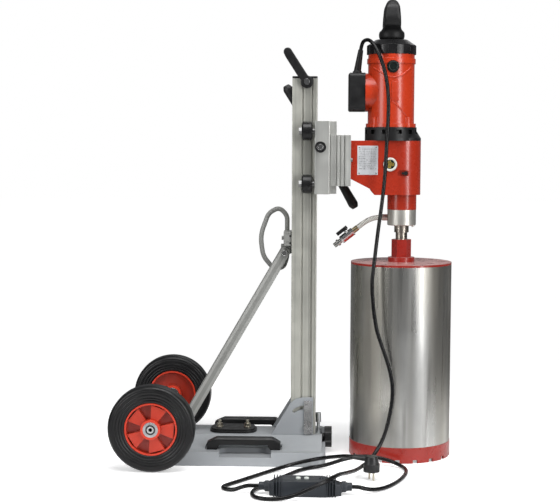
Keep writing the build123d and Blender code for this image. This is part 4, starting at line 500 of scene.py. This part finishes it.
def banded_metal(name, zones, point, axis, edge=0.5):
    """Metal whose colour and roughness change at distances along an axis: [(from, colour, roughness), ...]."""
    f = Finish(name, Metallic=1.0)
    rounded, _ = f.edges(edge * MM)
    reach = along(f, point, axis)
    cloud = f.noise(60, 4)
    base, rough = None, None
    for start, colour, roughness in zones:
        if base is None:
            base, rough = f.mixed(cloud, shade(colour, 0.85), shade(colour, 1.15)), cloud * 0.1 + roughness
            continue
        inside = reach > start
        base = f.mixed(inside, base, colour)
        rough = rough * (1 - inside) + inside * roughness
    normal = f.node("Bump", Height=cloud, Normal=rounded, Strength=0.08, Distance=0.0002)
    f.set(Base_Color=base, Roughness=rough, Normal=normal)
    return f


VALVE_ZONES = [
    (0, (0.46, 0.45, 0.42), 0.26),
    (-30 * MM, (0.56, 0.47, 0.30), 0.24),
    (FERRULE, (0.55, 0.55, 0.55), 0.14),
    (VALVE_BODY_END, (0.5, 0.5, 0.48), 0.24),
]
valve = banded_metal("ball_valve", VALVE_ZONES, VALVE_AT, VALVE_AXIS)
valve_reach = along(valve, VALVE_AT, VALVE_AXIS)
valve_below = along(valve, VALVE_AT, VALVE_UP)
valve_link = valve.shader.inputs["Base Color"].links[0].from_socket
stripe = (valve_reach > 18 * MM) * (valve_reach < 46 * MM) * (valve_below < -4.2 * MM)
STRIPE_RED = (0.40, 0.02, 0.012)
valve.set(Base_Color=valve.mixed(stripe, Signal(valve.tree, valve_link), STRIPE_RED), Metallic=1 - stripe)
print("valve finish zones at", FERRULE, VALVE_BODY_END)

# %% [markdown]
# ### Strut and handles
# The strut is a channel, and the light and shade on the folds along it are painted as light and dull strips. Handles
# and plug are one piece each in the model, so a distance decides where the black moulding ends and the bare metal
# begins.

# %% Strut finish
STRUT_FOOT = Vector((-285, 0, 78)) * MM
STRUT_ACROSS = Vector((0.8662, 0, -0.4997))
STRUT_WIDTH = 26 * MM


def strut_finish(name, colour):
    """Grey channel with painted light and shade: two lit strips, a duller strip between, a shaded line at one edge."""
    f = Finish(name, Specular_IOR_Level=0.32)
    rounded, _ = f.edges(1.2 * MM)
    across = along(f, STRUT_FOOT, STRUT_ACROSS)
    share = f.node("MapRange", Value=across, From_Min=-STRUT_WIDTH / 2, From_Max=STRUT_WIDTH / 2)
    far_lit_strip = (share > 0.1) * (share < 0.34)
    near_lit_strip = share > 0.7
    # The lit strips, the duller strip and the dark edge line are the channel's light and shade, painted in.
    tone = far_lit_strip * 0.5 + near_lit_strip * 0.4 + f.noise(14, 4) * 0.12 + (0.22 - (share < 0.1) * 0.22)
    base = f.mixed(tone.clamp(), shade(colour, 0.7), shade(colour, 1.6))
    f.set(Base_Color=base, Roughness=f.noise(55, 5) * 0.14 + 0.32, Normal=rounded)
    return f.material


strut_paint = strut_finish("strut_paint", STAND_TONE)
print("strut finish ready")

# %% Handle and plug finishes
def grip_and_bar(name, centre, reach):
    """Black grips beyond a distance from the hub, plated bar inside it."""
    f = Finish(name)
    rounded, _ = f.edges(0.8 * MM)
    spot = f.place(move=tuple(-value for value in centre))
    far = f.node("VectorMath", {"operation": "LENGTH"}, "Value", {0: spot}) > reach
    cloud = f.noise(60, 4)
    base = f.mixed(far, f.mixed(cloud, (0.45, 0.45, 0.44), (0.6, 0.6, 0.58)), BLACK)
    normal = f.node("Bump", Height=cloud, Normal=rounded, Strength=0.1, Distance=0.0003)
    f.set(Base_Color=base, Metallic=1 - far, Roughness=far * 0.2 + cloud * 0.08 + 0.24, Normal=normal)
    return f.material


def plug_finish(name, pin_top):
    """Black moulding above the pins' shoulder and bright pins below it."""
    f = Finish(name)
    rounded, _ = f.edges(0.8 * MM)
    _, _, z = f.axes()
    pin = z < pin_top
    cloud = f.noise(60, 4)
    f.set(Base_Color=f.mixed(pin, BLACK, (0.55, 0.5, 0.4)), Metallic=pin, Normal=rounded)
    f.set(Roughness=cloud * 0.12 + 0.34)
    return f.material


FEED_CENTRE = Vector((38, 100, 744.5)) * MM
GRIP_STARTS = 80 * MM
PIN_TOP = 18.9 * MM
feed_finish = grip_and_bar("feed_handle_finish", FEED_CENTRE, GRIP_STARTS)
plug_black = plug_finish("plug_and_pins", PIN_TOP)
print("handle and plug finishes ready")

# %% [markdown]
# ### Wheels
# The rims are moulded in one red, and what makes their wedges stand out is the shade in the pockets between them. The
# finish paints that shade in, as a darker red that deepens with distance from the outer faces. The ends of the axle
# are rings of different stuff inside each other, with painted shade in the bore, so that finish changes with the
# distance from the axle's line.

# %% Wheel finishes
AXLE = Vector((-344.8, 0, 100)) * MM
POCKET_EDGE, POCKET_FLOOR = 3 * MM, 17 * MM
BORE, SLEEVE, SEAL = 4.5 * MM, 7.8 * MM, 11.5 * MM


def rim_finish(name, colour, outer, inner):
    """Red paint with painted shade that deepens inside the pockets on both faces."""
    f = Finish(name, Coat_Weight=0.1, Specular_IOR_Level=0.45)
    rounded, _ = f.edges(1.0 * MM)
    _, y, _ = f.axes()
    across = y.math("ABSOLUTE")
    depth = (outer - across).math("MINIMUM", across - inner)
    pocket_shade = f.node("MapRange", Value=depth, From_Min=POCKET_EDGE, From_Max=POCKET_FLOOR)
    smudge = f.noise(40, 5)
    # Painted shade: the red darkens with depth into the pockets, and a patchy brown adds more of it deep inside.
    base = f.mixed(pocket_shade * 0.75, colour, shade(colour, 0.45))
    base = f.mixed((pocket_shade * smudge * 0.3).clamp(), base, (0.10, 0.03, 0.02))
    f.set(Base_Color=base, Roughness=(smudge * 0.15 + 0.3).clamp(), Normal=rounded)
    return f.material


def hub_finish(name, centre):
    """Rings round the axle: painted shade in the bore, a bright sleeve, a black seal, then zinc."""
    f = Finish(name)
    rounded, _ = f.edges(0.5 * MM)
    x, _, z = f.axes(tuple(centre))
    reach = (x * x + z * z).math("SQRT")
    cloud = f.noise(60, 4)
    sleeve = (reach > BORE) * (reach < SLEEVE)
    seal = (reach > SLEEVE) * (reach < SEAL)
    # The near-black of the bore is painted shade, while the seal's black is its own colour.
    dark = ((reach < BORE) + seal).clamp()
    base = f.mixed(cloud, (0.40, 0.41, 0.42), (0.58, 0.59, 0.6))
    base = f.mixed(sleeve, base, (0.66, 0.66, 0.66))
    base = f.mixed(dark, base, (0.012, 0.012, 0.012))
    f.set(Base_Color=base, Metallic=1 - dark, Roughness=cloud * 0.12 + 0.24, Normal=rounded)
    return f.material


WHEEL_OUTER = 244 * MM
WHEEL_INNER = 194 * MM
rim_paint = rim_finish("rim_red", (0.58, 0.036, 0.012), WHEEL_OUTER, WHEEL_INNER)
hub_zinc = hub_finish("wheel_hub_rings", AXLE)
print("wheel finishes ready")

# %% Sight glass finish
glass_green = Finish("sight_glass_dark", Base_Color=(0.006, 0.016, 0.010), Roughness=0.08, Coat_Weight=1.0).material
white_rim = coated("sight_glass_ring", (0.62, 0.62, 0.58), 0.35, edge=0.5, drift=0.04)
gold = metal("sight_glass_star", (0.62, 0.45, 0.10), 0.3, 0.3, lines=0.1)
# Near-black painted shade for the motor's inside behind its vents and for the clamp's holes.
painted_hollow_shade = Finish("vent_and_hole_painted_shade", Base_Color=(0.004, 0.004, 0.004), Roughness=0.6).material
print("sight glass finishes ready")

# %% [markdown]
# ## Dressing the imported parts
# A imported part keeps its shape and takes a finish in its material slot. One table says which finish each part wears.
# The parts that a softer or finer shape replaces later are in the table too, so that nothing is ever left bare.

# %% Table of finishes
WEARS = {
    base_grey: "base_casting foot_brackets base_brackets",
    stand_grey: "strut_clamp loop_handle",
    strut_paint: "strut",
    black_plastic: "base_handles slot_cover star_knob top_handle switch_box vent_ring strain_relief gear_knob "
    "valve_lever column_cap",
    tyre_black: "wheel_right_tyre wheel_left_tyre",
    soft_black: "d_handle",
    cap_black: "motor_cap",
    yellow_zinc: "base_bolts",
    hub_zinc: "axle wheel_bearings",
    zinc: "column_lock",
    box_grey: "safety_box",
    sheath: "motor_cord floor_cord supply_cord water_hose",
    rim_paint: "wheel_right_rim wheel_left_rim",
    anodised: "column",
    block_metal: "carriage spacer_block",
    steel: "rack layshaft rotor stator feed_shaft",
    thread_steel: "spindle",
    chrome: "column_bolts",
    bolt_steel: "carriage_bolts",
    housing_red: "gear_housing",
    motor_red: "motor_housing switch_rocker",
    swivel_metal: "water_swivel",
    brush_green: "brush_caps",
    glass_green: "sight_glass",
    roller_black: "roller_lower_right roller_lower_left roller_upper_right roller_upper_left",
    feed_finish: "feed_handle",
    bit_red: "core_adaptor core_crown",
    core_steel: "core_tube",
    button_white: "test_button reset_button",
    plug_black: "mains_plug",
    valve.material: "water_valve",
}
dressed = set()
for finish, names in WEARS.items():
    for name in names.split():
        nodes[name].data.materials.clear()
        nodes[name].data.materials.append(finish)
        dressed.add(name)
print("dressed", len(dressed), "of", len(nodes), "left:", sorted(set(nodes) - dressed))

# %% [markdown]
# ## Cords
# A cord is a fixed length of something bendy. Each one is a smooth NURBS line through listed points, with a round
# bevel for its sheath. The order of the spline is set after its points are there: set before, it would stay
# straight between them. The motor's cord hangs down in front of the core bit in two spans, the second of which
# ends on the floor.

# %% Cord helper
def soft_line(name, route, diameter, finish):
    """A round cord along a route given in millimetres."""
    line = bpy.data.curves.new(name, "CURVE")
    line.dimensions = "3D"
    line.bevel_depth = diameter / 2
    line.bevel_resolution = 5
    line.use_fill_caps = True
    line.resolution_u = 10
    spline = line.splines.new("NURBS")
    spline.points.add(len(route) - 1)
    for point, place in zip(spline.points, route):
        point.co = (*(value * MM for value in place), 1)
    spline.order_u = 3
    spline.use_endpoint_u = True
    cord = bpy.data.objects.new(name, line)
    scene.collection.objects.link(cord)
    cord.data.materials.append(finish)
    return cord


def as_tube(cord):
    """The cord as a mesh, and the points of the line it follows."""
    bevel, cord.data.bevel_depth = cord.data.bevel_depth, 0
    bpy.context.view_layer.update()
    thread = bpy.data.meshes.new_from_object(cord)
    centreline = [tuple(vertex.co) for vertex in thread.vertices]
    bpy.data.meshes.remove(thread)
    cord.data.bevel_depth = bevel
    bpy.ops.object.select_all(action="DESELECT")
    cord.select_set(True)
    bpy.context.view_layer.objects.active = cord
    bpy.ops.object.convert(target="MESH")
    bpy.ops.object.shade_smooth()
    return centreline


CORD = 9 * MM

# %% Motor cord
MOTOR_CORD = [
    (132.5, -10.5, 976), (134.3, -12.92, 988), (139.5, -22, 997.5), (151, -40, 998.5), (163, -55, 985),
    (175, -66, 961), (186, -72, 930), (194, -75, 893), (197.5, -76, 845), (195.5, -77, 788), (192.5, -79, 732),
    (189.5, -84, 670), (183, -92, 611), (175, -103, 556), (169.5, -119, 514), (164, -131.5, 468),
    (158.9, -135, 424), (163.4, -135.6, 378),
]
motor_cord = soft_line("motor_lead", MOTOR_CORD, CORD, sheath)
motor_line = as_tube(motor_cord)
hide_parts("motor_cord")
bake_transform(motor_cord)
print("motor cord:", len(motor_line), "points")

# %% Floor cord
FLOOR_CORD = [
    (163.4, -135.6, 378), (167.8, -136.187, 333), (182.4, -138, 287), (198, -140, 245), (208, -142, 207),
    (210.8, -144.5, 172), (207, -148, 137), (199, -154, 98), (187, -164, 64), (172, -178, 41), (159, -197, 28),
    (145.5, -219, 21.5), (132, -246, 18.5), (120, -279, 20.5), (108, -317, 26.5), (97.5, -357, 34),
    (86.5, -393, 41), (71, -424, 41.5), (53, -443, 36), (34.5, -453, 29), (13, -460, 21), (-9, -465, 12),
    (-32, -468, 6.5), (-56, -471, 4.6), (-79, -468, 4.6), (-95, -455, 4.6), (-103, -433, 4.6),
    (-102, -405, 4.6), (-92, -378, 4.6), (-72, -341, 4.6), (-41, -281, 4.6), (-10, -222, 4.6), (16, -194, 5),
    (45, -182.5, 6.5), (73, -164, 10.5), (97, -147, 15), (124, -137, 18.5), (152, -134.5, 20.5),
    (181, -139, 18), (207, -147.5, 12.5), (226, -160, 7), (238, -181, 4.6), (241, -213, 4.6), (233, -258, 4.6),
    (216, -309, 4.6), (191, -357, 4.6), (165, -387, 6), (142, -402.5, 11), (126, -407, 17), (112, -407, 17),
]
floor_cord = soft_line("floor_lead", FLOOR_CORD, CORD, sheath)
floor_line = as_tube(floor_cord)
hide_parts("floor_cord")
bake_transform(floor_cord)
print("floor cord:", len(floor_line), "points")

# %% Supply cord
SUPPLY_CORD = [
    (-89, -407, 17), (-100, -407, 17), (-112, -406.5, 17), (-127, -404.5, 12.5), (-142, -401, 6),
    (-156, -395.5, 4.6), (-167, -386, 4.6), (-169.5, -371, 4.6), (-159, -353, 4.6), (-138, -323, 4.6),
    (-109, -281, 4.6), (-74, -229, 4.6), (-40, -197, 8), (-8, -184.5, 14.5), (20, -184, 21), (46, -192.5, 28),
    (68, -212, 35.5), (88, -236, 43), (102, -253.5, 48), (117, -260, 48),
]
supply_cord = soft_line("supply_lead", SUPPLY_CORD, CORD, sheath)
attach(supply_cord, "base")
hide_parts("supply_cord")
print("supply cord laid")

# %% [markdown]
# ### Water hose
# A short clear hose with a white braid inside joins the swivel to the ball valve. The braid is a pattern of two
# crossing bands in the finish, because at this size its threads are thinner than a hair.
# At 66 mm it is shorter than six of its own diameters, and it is a fixed bent piece.

# %% Hose finish and hose
def hose_finish():
    """Cloudy clear plastic with a crossed braid."""
    f = Finish("clear_braided_hose", Roughness=0.2, Coat_Weight=0.5)
    one = f.node("TexWave", Vector=f.place(turn=(0.6, 0.9, 0)), Scale=95, Distortion=0.6)
    two = f.node("TexWave", Vector=f.place(turn=(-0.6, -0.9, 0)), Scale=95, Distortion=0.6)
    braid = f.node("MapRange", Value=one.math("MAXIMUM", two), From_Min=0.6, From_Max=0.9)
    f.set(Base_Color=f.mixed(braid, (0.20, 0.20, 0.18), (0.62, 0.62, 0.58)))
    f.set(Normal=f.node("Bump", Height=braid, Strength=0.4, Distance=0.0003))
    return f.material


HOSE = [
    (188, 0, 575.5), (175, 0, 575.5), (162, 0, 572), (150, 0, 566.3), (139, 0, 558.8), (129, 0, 550.8),
]
clear_hose = hose_finish()
hose = soft_line("braided_hose", HOSE, 12.5 * MM, clear_hose)
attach(hose, "carriage")
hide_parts("water_hose")
print("hose laid")

# %% [markdown]
# ## New pieces
# Moulded parts have no sharp edges at all, which a rounded normal can't give them: their outline must be soft too.
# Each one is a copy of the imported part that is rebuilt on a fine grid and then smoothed, which is quicker than
# modelling it again and keeps its size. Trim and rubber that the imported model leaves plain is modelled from
# primitives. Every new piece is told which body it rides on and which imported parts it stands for.

# %% Modelling helpers
WELD = 0.02 * MM
SHARP_FOLD = radians(40)
SOFT_FOLD = radians(50)


def alone(piece):
    """Select one object and nothing else."""
    bpy.ops.object.select_all(action="DESELECT")
    piece.select_set(True)
    bpy.context.view_layer.objects.active = piece


def modify(piece, kind, **settings):
    """Add a modifier, set it and apply it."""
    step = piece.modifiers.new(kind.lower(), kind)
    for name, value in settings.items():
        setattr(step, name, value)
    alone(piece)
    bpy.ops.object.modifier_apply(modifier=step.name)


def clean(piece):
    """Merge doubled points and turn all faces outwards."""
    alone(piece)
    bpy.ops.object.mode_set(mode="EDIT")
    bpy.ops.mesh.select_all(action="SELECT")
    bpy.ops.mesh.remove_doubles(threshold=WELD)
    bpy.ops.mesh.normals_make_consistent(inside=False)
    bpy.ops.object.mode_set(mode="OBJECT")


def settle(piece, name, body, slot, finish, *stands_for):
    """Fix a finished piece's place in its mesh, dress it and fasten it to its body."""
    alone(piece)
    bpy.ops.object.transform_apply(location=True, rotation=True, scale=True)
    piece.name = name
    piece.data.materials.clear()
    piece.data.materials.append(finish)
    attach(piece, body)
    if stands_for:
        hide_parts(*stands_for)
    return piece


def softened(node, name, grid, rounds, body, slot, finish):
    """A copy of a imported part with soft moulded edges."""
    alone(nodes[node])
    piece = bpy.data.objects.new(name, nodes[node].data.copy())
    piece.matrix_world = nodes[node].matrix_world
    scene.collection.objects.link(piece)
    clean(piece)
    modify(piece, "REMESH", mode="VOXEL", voxel_size=grid * MM)
    modify(piece, "SMOOTH", factor=0.5, iterations=rounds)
    bpy.ops.object.shade_smooth()
    settle(piece, name, body, slot, finish, node)
    print(name, len(piece.data.polygons), "faces")
    return piece

# %% [markdown]
# ### Moulded parts
# Each row gives the size of the grid in millimetres, the rounds of smoothing, the body, the slot and the finish. More
# rounds make a rounder shape.

# %% Moulded parts
MOULDED = {
    "d_handle": (1.8, 90, "carriage", "soft_black", soft_black),
    "top_handle": (1.1, 14, "top_handle", "black_plastic", black_plastic),
    "feed_handle": (1.2, 24, "feed", "handle_metal", feed_finish),
    "base_handles": (1.2, 6, "base", "black_plastic", black_plastic),
    "star_knob": (0.8, 5, "star_knob", "black_plastic", black_plastic),
    "strain_relief": (0.7, 3, "carriage", "soft_black", soft_black),
    "safety_box": (1.2, 4, "base", "box_plastic", box_grey),
    "mains_plug": (0.6, 3, "base", "plug_plastic", plug_black),
}
moulded = {node: softened(node, "soft_" + node, *how) for node, how in MOULDED.items()}

# %% [markdown]
# ### Tyres
# The side walls of the solid rubber tyres have moulded rings that catch the light as thin circles. A ring of points
# is laid along the section of the tyre and spun once round the axle. The second tyre is a mirrored copy.

# %% Tyre section
TYRE_HALF = [
    (60.6, 18), (62, 20.5), (65, 22), (66.5, 22.1), (68, 20.9), (69.5, 22.4), (71.5, 23.4), (73, 23.5),
    (74.2, 22.4), (75.4, 23.8), (79, 24.6), (80.4, 24.6), (81.6, 23.4), (82.8, 24.7), (87, 24.8), (88.6, 24.8),
    (90, 23.8), (91.4, 24.4), (94, 23.4), (96.5, 21.6), (98.6, 18.6), (99.7, 14.5), (100, 9), (100, 3),
]
section = TYRE_HALF + [(radius, -across) for radius, across in reversed(TYRE_HALF)]


def spun_ring(outline, centre, steps=144):
    """A closed outline of (radius, distance along the axis) spun round a line that runs in Y."""
    bpy.ops.object.select_all(action="DESELECT")
    bpy.ops.mesh.primitive_circle_add(vertices=len(outline), radius=1, fill_type="NOTHING", location=(0, 0, 0))
    ring = bpy.context.object
    for vertex, (radius, across) in zip(ring.data.vertices, outline):
        vertex.co = centre + Vector((radius, across, 0)) * MM
    bpy.ops.object.mode_set(mode="EDIT")
    bpy.ops.mesh.select_all(action="SELECT")
    bpy.ops.mesh.spin(steps=steps, angle=2 * pi, center=centre, axis=(0, 1, 0))
    bpy.ops.mesh.select_all(action="SELECT")
    bpy.ops.mesh.remove_doubles(threshold=WELD)
    bpy.ops.mesh.normals_make_consistent(inside=False)
    bpy.ops.object.mode_set(mode="OBJECT")
    bpy.ops.object.shade_smooth_by_angle(angle=SOFT_FOLD)
    return ring


for side, body in ((-1, "wheel_right"), (1, "wheel_left")):
    middle = Vector((-344.8, 219 * side, 100)) * MM
    tyre = spun_ring(section, middle)
    settle(tyre, body + "_rubber", body, "tyre", tyre_black, body + "_tyre")
print("tyre faces:", len(tyre.data.polygons))

# %% [markdown]
# ### Small round trim
# The sight glass has a white ring and a gilt star over dark green oil. A black ring with a bright socket screw closes
# the near end of the feed shaft. Behind the slots of the vent ring a black wall is painted shade for the motor's
# inside, so that no light passes.

# %% Rings
GLASS_X, GLASS_Z = 203.3, 704
SHAFT_X, SHAFT_Z = 38, 744.5
RING_STEPS = 64
GLASS_RIM = [(11.2, -53.6), (11.2, -51), (16.4, -51), (16.4, -54), (15.8, -54.7), (12.4, -54.7)]
SHAFT_RIM = [(8.2, -85.8), (8.2, -80), (13.4, -80), (13.4, -85), (12.6, -86.2), (9, -86.2)]

glass_at = Vector((GLASS_X, 0, GLASS_Z)) * MM
glass_ring = spun_ring(GLASS_RIM, glass_at, RING_STEPS)
settle(glass_ring, "sight_ring", "carriage", "sight_glass", white_rim)
screw_ring = spun_ring(SHAFT_RIM, Vector((SHAFT_X, 0, SHAFT_Z)) * MM, RING_STEPS)
settle(screw_ring, "feed_end_ring", "feed", "black_plastic", black_plastic)
print("rings round the sight glass and the feed shaft")

# %% Socket screw and vent liner
def post(place, radius, length, axis="Y", sides=48):
    """A cylinder along Y or Z, centred on a place in millimetres."""
    bpy.ops.object.select_all(action="DESELECT")
    turn = (radians(90), 0, 0) if axis == "Y" else (0, 0, 0)
    bpy.ops.mesh.primitive_cylinder_add(
        vertices=sides, radius=radius * MM, depth=length * MM, location=Vector(place) * MM, rotation=turn
    )
    return bpy.context.object


def inset_end(piece, normal, thickness, depth):
    """Sink the end face that looks along a normal."""
    alone(piece)
    bpy.ops.object.mode_set(mode="EDIT")
    bpy.ops.mesh.select_all(action="DESELECT")
    bpy.ops.object.mode_set(mode="OBJECT")
    turned = piece.matrix_world.to_3x3()
    for face in piece.data.polygons:
        face.select = (turned @ face.normal).dot(Vector(normal)) > 0.99
    bpy.ops.object.mode_set(mode="EDIT")
    bpy.ops.mesh.select_mode(type="FACE")
    bpy.ops.mesh.inset(thickness=thickness * MM, depth=-depth * MM)
    bpy.ops.object.mode_set(mode="OBJECT")


def round_off(piece, width, segments, fold=None):
    """Bevel the sharp edges of a piece, and shade what is flatter than the fold as one surface."""
    modify(piece, "BEVEL", width=width * MM, segments=segments, limit_method="ANGLE")
    if fold:
        bpy.ops.object.shade_smooth_by_angle(angle=fold)


MOTOR_X = 206.2
VENT_HEIGHT = 776

screw = post((SHAFT_X, -85.3, SHAFT_Z), 7.6, 3.4)
inset_end(screw, (0, -1, 0), 1.0, 0.0)
inset_end(screw, (0, -1, 0), 2.2, 0.0)
inset_end(screw, (0, -1, 0), 0.2, 2.4)
round_off(screw, 0.35, 2, SHARP_FOLD)
settle(screw, "feed_screw", "feed", "bright_zinc", chrome)

# A black wall behind the vent slots: painted shade of the motor's inside.
liner = post((MOTOR_X, 0, VENT_HEIGHT), 53, 30, "Z", 64)
round_off(liner, 1.5, 2, SHARP_FOLD)
settle(liner, "vent_liner", "carriage", "black_paint", painted_hollow_shade)
print("socket screw and vent liner placed")

# %% [markdown]
# ### Bolt head, holes and cap rims
# The bolt at the strut's upper end has a socket in its head. Two small dark discs are painted shade for the clamp's
# holes, and a thin rim goes round each brush cap.

# %% Bolt head, clamp holes and brush cap rims
strut_bolt = post((-47.3, -35.4, 490), 6.4, 3.2)
inset_end(strut_bolt, (0, -1, 0), 2.4, 0.0)
inset_end(strut_bolt, (0, -1, 0), 0.2, 1.8)
round_off(strut_bolt, 0.5, 3, SHARP_FOLD)
settle(strut_bolt, "strut_bolt", "strut_clamp", "bright_zinc", chrome)
for up in (514, 531):
    # Flush dark discs: the painted shade of the clamp's holes.
    hole = post((-33, -34.05, up), 2.6, 0.4, sides=24)
    round_off(hole, 0.12, 2)
    settle(hole, "clamp_hole_%d" % up, "strut_clamp", "grey_paint", painted_hollow_shade)
brush_at = Vector((207.8, 0, 934.6)) * MM
CAP_RIM = [(8.4, -57.2), (8.4, -58.4), (9.2, -59), (11.8, -59), (12.6, -58.4), (12.6, -57.2)]
for side, name in ((1, "near"), (-1, "far")):
    cap_rim = spun_ring([(radius, across * side) for radius, across in CAP_RIM], brush_at, RING_STEPS)
    settle(cap_rim, "brush_rim_" + name, "carriage", "brush_cap", brush_green)
print("bolt head, holes and rims placed")

# %% [markdown]
# ### Gilt star
# The star starts as a flat cylinder with ten sides, and every second corner is pulled in.

# %% Gilt star
STAR_WAIST = 0.56

bpy.ops.object.select_all(action="DESELECT")
bpy.ops.mesh.primitive_cylinder_add(vertices=10, radius=9.6 * MM, depth=0.8 * MM, location=(0, 0, 0))
star = bpy.context.object
for vertex in star.data.vertices:
    corner = round(atan2(vertex.co.y, vertex.co.x) / (pi / 5))
    if corner % 2:
        vertex.co.x *= STAR_WAIST
        vertex.co.y *= STAR_WAIST
star.rotation_euler = (radians(90), 0, 0)
star.location = glass_at + Vector((0, -53.3, 0)) * MM
round_off(star, 0.15, 1)
settle(star, "gilt_star", "carriage", "sight_glass", gold)
for number in range(5):
    angle = radians(72 * number + 90)
    dot = post((GLASS_X + 4.6 * cos(angle), -53.8, GLASS_Z + 4.6 * sin(angle)), 1.1, 0.3, sides=16)
    round_off(dot, 0.08, 1)
    settle(dot, "star_hole_%d" % number, "carriage", "sight_glass", glass_green)
print("star in place")

# %% [markdown]
# ### Rating plate
# A thin aluminium plate is riveted to the gear housing. On a real machine it carries the maker's data. This one
# stays generic: grey rules and blocks where the table would be, and no lettering at all.

# %% Rating plate
def plate_finish(name, left, right, low, high):
    """Aluminium with faint rules, as a table with nothing legible in it."""
    f = Finish(name, Metallic=0.35, Roughness=0.36)
    rounded, _ = f.edges(0.4 * MM)
    x, _, z = f.axes((left, 0, low))
    row = (z * (1 / 0.0041)).math("FRACT")
    column = (x * (1 / 0.0165)).math("FRACT")
    inside = (x > 0.004) * (x < right - left - 0.004) * (z > 0.012) * (z < high - low - 0.005)
    broken = f.noise(900, 1, (1, 1, 0.45), 0.48, 0.52)
    words = (row > 0.35) * (row < 0.75) * broken * inside
    rules = ((row > 0.93) + (column > 0.95)).clamp() * inside
    base = f.mixed(f.noise(40, 3), (0.54, 0.55, 0.57), (0.66, 0.67, 0.69))
    base = f.mixed((words * 0.75 + rules * 0.6).clamp(), base, (0.06, 0.065, 0.07))
    f.set(Base_Color=base, Normal=rounded)
    return f.material


def slab(place, size, edge, segments, turn=0.0):
    """A box with rounded edges, centred on a place in millimetres and turned about Z."""
    bpy.ops.object.select_all(action="DESELECT")
    bpy.ops.mesh.primitive_cube_add(size=1, location=Vector(place) * MM, rotation=(0, 0, turn))
    piece = bpy.context.object
    piece.scale = Vector(size) * MM
    bpy.ops.object.transform_apply(location=False, rotation=False, scale=True)
    modify(piece, "BEVEL", width=edge * MM, segments=segments)
    return piece


PLATE = (125.5, 174.5, 679, 748)
plate = slab((150, -50.25, 713.5), (49, 0.9, 69), 0.3, 2)
plate_look = plate_finish("rating_plate", *(value * MM for value in PLATE))
settle(plate, "rating_plate", "carriage", "anodised", plate_look)
for across in (130, 170):
    for up in (683, 744):
        rivet = post((across, -50.9, up), 1.5, 0.8, sides=20)
        round_off(rivet, 0.3, 2)
        settle(rivet, "rivet_%d_%d" % (across, up), "carriage", "bright_zinc", chrome)
print("plate", [round(value) for value in plate.dimensions / MM])

# %% [markdown]
# ### Ridges on the motor
# The motor's cast cover has a raised lip that dips round the brush cap, and a tall raised panel under it. Both sit
# on the round front. The lip is a thin bent rod, and the panel is a thin slab that is rounded on its edges.

# %% Motor ridges
MOTOR_RADIUS = 55.5
LIP = [
    (163, 932), (176, 924), (190, 914.5), (198, 911), (206, 909.6),
    (215, 910.4), (224, 912.8), (233, 917), (243, 926), (250, 933),
]
CREASE = [(205, 852), (213, 849), (222, 840), (232, 828), (243, 817), (250, 811)]


def on_motor(across, up, sink=0.0):
    """A point on the motor's near face, in millimetres."""
    offset = across - MOTOR_X
    return (across, -((MOTOR_RADIUS - sink) ** 2 - offset**2) ** 0.5, up)


def ridge(name, points, sink, thickness):
    """A thin rod of the motor's own paint that follows its round face."""
    rod = soft_line(name, [on_motor(x, z, sink) for x, z in points], thickness * MM, motor_red)
    as_tube(rod)
    settle(rod, name, "carriage", "red_enamel", motor_red)


ridge("motor_lip", LIP, 0.2, 4.6)
ridge("motor_crease", CREASE, 0.3, 4.0)
panel = slab(on_motor(213, 877, 0.6), (17, 5.0, 46), 1.4, 4, turn=radians(7))
bpy.ops.object.shade_smooth_by_angle(angle=SOFT_FOLD)
settle(panel, "motor_panel", "carriage", "red_enamel", motor_red)
print("ridges in place")

# %% [markdown]
# ### Ribs on the safety box
# The trip switch in the cord has ribs at both ends of its case for grip.

# %% Safety box ribs
RIBS_ACROSS = (-56, -50, -44, -38, 58, 64, 70, 76)
for number, across in enumerate(RIBS_ACROSS):
    rib = slab((across, -407, 17.8), (2.6, 60.4, 34.4), 1.1, 3)
    bpy.ops.object.shade_smooth_by_angle(angle=SOFT_FOLD)
    settle(rib, "box_rib_%d" % number, "base", "box_plastic", box_grey)
print("ribs done")

# %% [markdown]
# ## The cords
# The three cords are laid above.

print("three cords laid")
